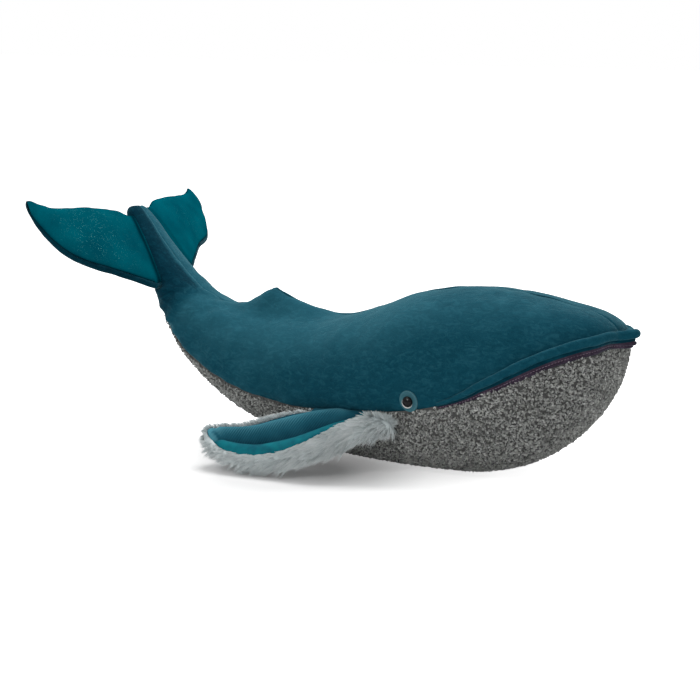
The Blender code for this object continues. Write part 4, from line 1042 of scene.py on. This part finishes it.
def fin_fur(word, limb, material):
    """Hairs in small locks, whose tips draw together."""
    places = np.linspace(-0.9, limb.last - 0.02, 90)
    place, turn = grid(places, *fur_turns(places), np.linspace(0, 1, 90))
    place, turn, random = scatter(place, turn, limb.form, LOCK_SPACING, 5 + (limb.side > 0))
    # more locks along the rear rim
    places = np.linspace(0.3, PANEL_END - 0.1, 60)
    rim_place = np.repeat(places[:, None], 12, 1)
    rim_turn = fur_turns(places)[0][:, None] + np.linspace(0.01, 0.35, 12)
    rim_place, rim_turn, _ = scatter(rim_place, rim_turn, limb.form, RIM_LOCK_SPACING, 9)
    # and around the front corner of the root
    corner = random.random((2, CORNER_LOCKS))
    place = np.concatenate((place, rim_place, 0.15 - 1.1 * corner[0]))
    turn = np.concatenate((turn, rim_turn, math.tau + 1.15 * (2 * corner[1] - 1)))
    form, normal = limb.form(place, turn), limb.normal(place, turn)
    toward_tip = unit(limb.form(np.minimum(place + 0.06, limb.last), turn)
                      - limb.form(np.maximum(place - 0.06, -0.8), turn))
    count = len(form)
    low, high = fur_turns(place)
    short = (0.42 - 0.14 * (1 - smooth(place, 0.6, 2.2))
             + 0.40 * (1 - smooth(place, -0.1, 0.5)))
    border = short + (1 - short) * smooth(high - turn, 0.0, 0.7)
    border *= 0.85 + 0.15 * smooth(turn - low, 0.0, 0.5)
    wisp = np.stack([noise(form, 0.013, 51 + k) for k in range(3)], -1)
    rear = 0.5 - 0.5 * np.cos(turn - 0.15)
    root = 1 - smooth(place, 0.2, 1.4)
    flow = (toward_tip * (0.75 - 0.2 * root)[:, None]
            + np.array((0, 0, -0.55)) * (1 - 1.6 * rear)[:, None] + 0.28 * wisp)
    flow = flow - normal * dots(flow, normal)
    rim = bell(turn / math.pi, FUR_REAR, 0.16)[:, None] * (1 - root)[:, None]
    cap = 1 - smooth(place, -0.9, -0.1)[:, None]
    direction = unit(normal * (0.72 - 0.3 * rim + 0.25 * cap) + flow * 0.85
                     + rim * (-0.2, 0, 0.9) + random.normal(0, 0.06, form.shape))
    bend = flow * (0.85 - 0.6 * rim) + 0.10 * wisp
    length = HAIR_LENGTH * pile(place, turn) * border * random.uniform(0.88, 1.08, count)
    length *= 1 - 0.35 * smooth(place, 4.8, 5.8)
    u = unit(np.cross(normal, toward_tip))
    angle = random.uniform(0, math.tau, (count, HAIRS))
    spread = np.sqrt(random.random((count, HAIRS))) * LOCK_RADIUS
    offset = around(u, np.cross(normal, u), spread, angle).reshape(-1, 3)

    def each(values):
        return np.repeat(values, HAIRS, axis=0)

    many = count * HAIRS
    length = each(length) * random.uniform(0.70, 1.06, many)
    direction = unit(each(direction) + random.normal(0, 0.08, (many, 3)))
    t = np.linspace(0, 1, 5)[None, :, None]
    spines = (each(form)[:, None] + each(normal)[:, None] * 0.0012
              + offset[:, None] * (1 - 0.62 * t)
              + (direction[:, None] * t + each(bend)[:, None] * t ** 2) * length[:, None, None])
    spines[..., 2] = np.maximum(spines[..., 2], 0.0006)
    tone = each(0.54 + 0.14 * noise(form, 0.006, 61) + random.normal(0, 0.06, count))
    # hairs painted darker at their roots and lighter at their tips, painted shade inside the fur
    tone = (tone + random.normal(0, 0.07, many))[:, None] + np.linspace(-0.22, 0.16, 5)
    radii = random.uniform(0.00024, 0.00036, many) * 1
    sizes = radii[:, None] * (1 - 0.9 * np.linspace(0, 1, 5) ** 2)
    for number, part in enumerate(np.array_split(np.arange(many), 2)):
        obj = yarn(f"{word}_fin_hair_{number}", spines[part], sizes[part], tone[part], 3)
        finish_piece(obj, material, (), body=f"{word}_fin")


def core(body, limb, start, end, shrink, wadding):
    """Wadding of a fin or fluke, a little inside its covers."""
    rings = limb.form(*grid(np.linspace(start, end, 40), 0, 1, circle(40)))
    rings += shrink * (rings.mean(1, keepdims=True) - rings)
    rings[..., 2] = np.maximum(rings[..., 2], 0.002)
    obj = tube(f"{body}_wadding", rings)
    finish_piece(obj, wadding, (f"{body}_stuffing",), body=body)


def fins(ribbed, bright, fur, wadding):
    def fold(places):
        return math.pi * fin_fold(places)

    def overlap(places):
        return math.pi * (fin_fold(places) - 0.02)

    def rear(places):
        return math.pi * FUR_REAR + 0 * places

    for word, side in SIDES:
        limb, name = fin_limb(word, side), f"{word}_fin"
        fin_panel(word, limb, f"{name}_ribs", overlap, rear, ribbed, f"{name}_ribbed_cover",
                  True)
        fin_panel(word, limb, f"{name}_strip", fur_edge, fold, bright, f"{name}_strip_cover",
                  False)
        fin_backing(word, limb, fur)
        fin_fur(word, limb, fur)
        core(name, limb, 0.0, limb.last - 0.5, 0.16, wadding)


# Flukes

def stock_side(points, side):
    """Points on the side of the tail stock at the heights of points on a fluke's root."""
    line = body_form(np.linspace(17.6, 21.6, 60), side * math.pi / 2) * (1, 0.9, 1)
    return on_line(points[..., 2], line[:, 2], line)


def fluke_blend(word, limb):
    """Blend of fabric from the tail onto a fluke."""
    pivot = np.array(JOINTS[f"{word}_fluke_flap"]["pos_m"])
    outward = limb.outward * (1, limb.side, 1)
    return "tail", f"{word}_fluke", tuple(pivot - outward * 0.008), tuple(pivot + outward * 0.002)


def fluke_side(word, part, limb, start, end, material, seed):
    """Top or under cover of a fluke, from one turn to another."""
    rows, columns = ((180, 110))
    places = limb.last * np.linspace(0, 1, rows) ** 0.9
    share = 0.5 - 0.5 * np.cos(math.pi * np.linspace(0, 1, columns))
    place, turn = grid(places, start, end, share)
    form, normal = limb.form(place, turn), limb.normal(place, turn)
    # web of fabric from the tail stock out to the root
    front, rear = limb.stations[0, :3], limb.stations[0, 3:6]
    chord = (front + rear) / 2 + (front - rear) / 2 * np.cos(turn[0])[:, None]
    chord = chord * (1, limb.side, 1)
    seat = stock_side(chord, limb.side) + (form[0] - chord) * 0.8
    knee = form[0] * 0.6 + seat * 0.4 + (form[0] - chord) * 0.3
    form = np.concatenate((web(seat, knee, form[0]), form))
    normal = np.concatenate((np.repeat(normal[:1], WEB_ROWS, 0), normal))
    place = np.concatenate((np.zeros((WEB_ROWS, columns)), place))
    run = run_across(form)
    from_seam = np.minimum(run, run[:, -1:] - run)
    lift = 0.0015 + edge_pinch(run, 0.0013, 0.0014) + 0.0007 * noise(form, 0.018, seed)
    lift += 0.0006 * np.exp(-from_seam / 0.007) * noise(form, 0.007, seed + 3)
    outer, inner = stand_off(form, normal, lift)
    near = limb.side < 0
    # painted glints, most in the middle of the cover and fewer on the far fluke
    tone = bell(place, 2.4, 1.6) * np.sin(share * math.pi)[None, :] ** 0.7
    tone *= 1.0 if near else 0.35
    # painted shade along the seams and in the crease where the fluke meets the stock; the crease is
    # less dark on the far fluke
    tone -= 1.4 * np.exp(-from_seam / 0.0013)
    tone[:14] = -(1.0 if near else 0.3) * bell(np.arange(14), 6, 4)[:, None]
    obj = shell(f"{word}_fluke_{part}", close_tip(outer), close_tip(inner), two_more(tone))
    finish_piece(obj, material, (f"{word}_fluke_{part}_cover",),
                 blend=fluke_blend(word, limb))


def flukes(glitter, dark, wadding):
    for word, side in SIDES:
        limb = fluke_limb(word, side)
        fluke_side(word, "top", limb, FLUKE_SEAM, math.pi, glitter, 71)
        fluke_side(word, "under", limb, math.pi, math.tau + FLUKE_SEAM, dark, 72)
        core(f"{word}_fluke", limb, 0.05, limb.last - 0.7, 0.10, wadding)


# Inside

def body_wadding(material):
    """Stuffing of the torso and tail, just inside the covers."""
    place, turn = grid(np.linspace(0.25, 21.9, 170), 0, 1, circle(72))
    rings = body_form(place, turn) - body_normals(place, turn) * 0.0008
    rings[..., 2] = np.maximum(rings[..., 2], 0.0022)
    finish_piece(tube("body_wadding", rings), material, ("torso_stuffing", "tail_stuffing"),
                 blend=tail_blend())


def inside(wadding):
    """What is left of the inside keeps its CAD solids, in its own materials."""
    washer = plastic("washer_plastic", linear(225, 225, 220), 0.45, 0.3)
    for name, node in frame["nodes"].items():
        if node.hide_render:
            continue
        node.data.materials.clear()
        node.data.materials.append(washer if "washer" in name else wadding)


# Floor, light and camera

def stage():
    """White floor whose camera-only glow is lowest round a spot under the fin, a painted shadow
    that deepens the real soft one there, and rises to plain white further off.
    """
    floor = bpy.data.meshes.new("floor")
    floor.from_pydata([(-9, -9, 0), (9, -9, 0), (9, 9, 0), (-9, 9, 0)], [], [(0, 1, 2, 3)])
    place_object("floor", floor)
    shader = Shader("floor", 1.0, specular=0.0)
    seen = shader.nodes.new("ShaderNodeLightPath").outputs["Is Camera Ray"]
    shader.colour(shader.mix(seen, (0.9, 0.9, 0.9), (0.8, 0.8, 0.8)))
    far = shader.add("ShaderNodeVectorMath", Vector=shader.place)
    far.operation = "DISTANCE"
    # painted shadow: the glow is lowest round this spot under the fin and rises with distance from
    # it
    far.inputs[1].default_value = (-0.125, -0.125, 0)
    half = shader.math("MULTIPLY", far.outputs["Value"], 0.5)
    painted_shadow_glow = shader.ramp(half, (0.03, 0.08), (0.05, 0.26), (0.075, 0.60), (0.11, 0.90), (0.18, 1))
    shader.feed(shader.out.inputs["Emission Color"], (1, 1, 1))
    shader.feed(shader.out.inputs["Emission Strength"], shader.math("MULTIPLY", seen, painted_shadow_glow))
    floor.materials.append(shader.material)


def area_light(name, place, size, power):
    """Round lamp that faces the whale."""
    light = bpy.data.lights.new(name, "AREA")
    light.shape = "DISK"
    light.size = size
    light.energy = power
    obj = place_object(name, light)
    obj.location = place
    toward = Vector((-0.1, 0, 0.08)) - Vector(place)
    obj.rotation_euler = toward.to_track_quat("-Z", "Y").to_euler()
    return obj


def lights():
    world = bpy.data.worlds.new("studio")
    bpy.context.scene.world = world
    world.use_nodes = True
    nodes, links = world.node_tree.nodes, world.node_tree.links
    background = nodes["Background"]
    seen = nodes.new("ShaderNodeLightPath")
    mix = nodes.new("ShaderNodeMix")
    mix.inputs[2].default_value = 0.52
    mix.inputs[3].default_value = 1.0
    links.new(seen.outputs["Is Camera Ray"], mix.inputs[0])
    links.new(mix.outputs[0], background.inputs["Strength"])
    background.inputs["Color"].default_value = (1, 1, 1, 1)
    area_light("key", (-0.50, 0.55, 1.50), 1.0, 15)
    area_light("rear", (0.35, 0.75, 1.7), 0.8, 3.5)
    area_light("front", (0.12, -1.35, 0.95), 0.24, 3.0)
    area_light("glint", (-0.06, -1.24, 1.17), 0.5, 25).visible_diffuse = False


def camera():
    azimuth, elevation, distance = math.radians(31), math.radians(10), 2.2
    focal_pixels, width_pixels, sensor = 2095, 700, 36
    back = Vector((math.sin(azimuth) * math.cos(elevation),
                   -math.cos(azimuth) * math.cos(elevation), math.sin(elevation)))
    data = bpy.data.cameras.new("camera")
    data.sensor_width = sensor
    data.lens = sensor * focal_pixels / width_pixels
    obj = place_object("camera", data)
    obj.location = Vector((-0.1195, 0, 0.108)) + back * distance
    obj.rotation_euler = (-back).to_track_quat("-Z", "Y").to_euler()
    bpy.context.scene.camera = obj
    bpy.context.scene.view_settings.view_transform = "Standard"


velvet = velvet_material("teal_velvet", linear(2, 53, 69), linear(10, 69, 86),
                         linear(44, 103, 119), 0.76)
plum = velvet_material("plum_velvet", linear(36, 28, 40), linear(56, 46, 60), linear(90, 78, 94))
dark = velvet_material("dark_velvet", linear(0, 34, 46), linear(2, 48, 62), linear(10, 66, 82))
boucle, fur = boucle_material(), fur_material()
ribbed, bright, glitter = ribbed_material(), bright_material(), glitter_material()
suede, wadding = suede_material(), wadding_material()
black = plastic("black_gloss", (0.002, 0.002, 0.003), 0.08, 0.25)
white = plastic("white_plastic", linear(248, 247, 244), 0.35, 0.25)
thread = plastic("plum_thread", linear(150, 126, 146), 0.5, 0.25)

for word, side in SIDES:
    velvet_half(word, side, velvet)
belly_base(boucle)
belly_curls(boucle)
mouth(velvet, plum, dark, thread)
for word, side in SIDES:
    eye(word, side, black, white, suede)
fins(ribbed, bright, fur, wadding)
flukes(glitter, dark, wadding)
body_wadding(wadding)
inside(wadding)
stage()
lights()
camera()
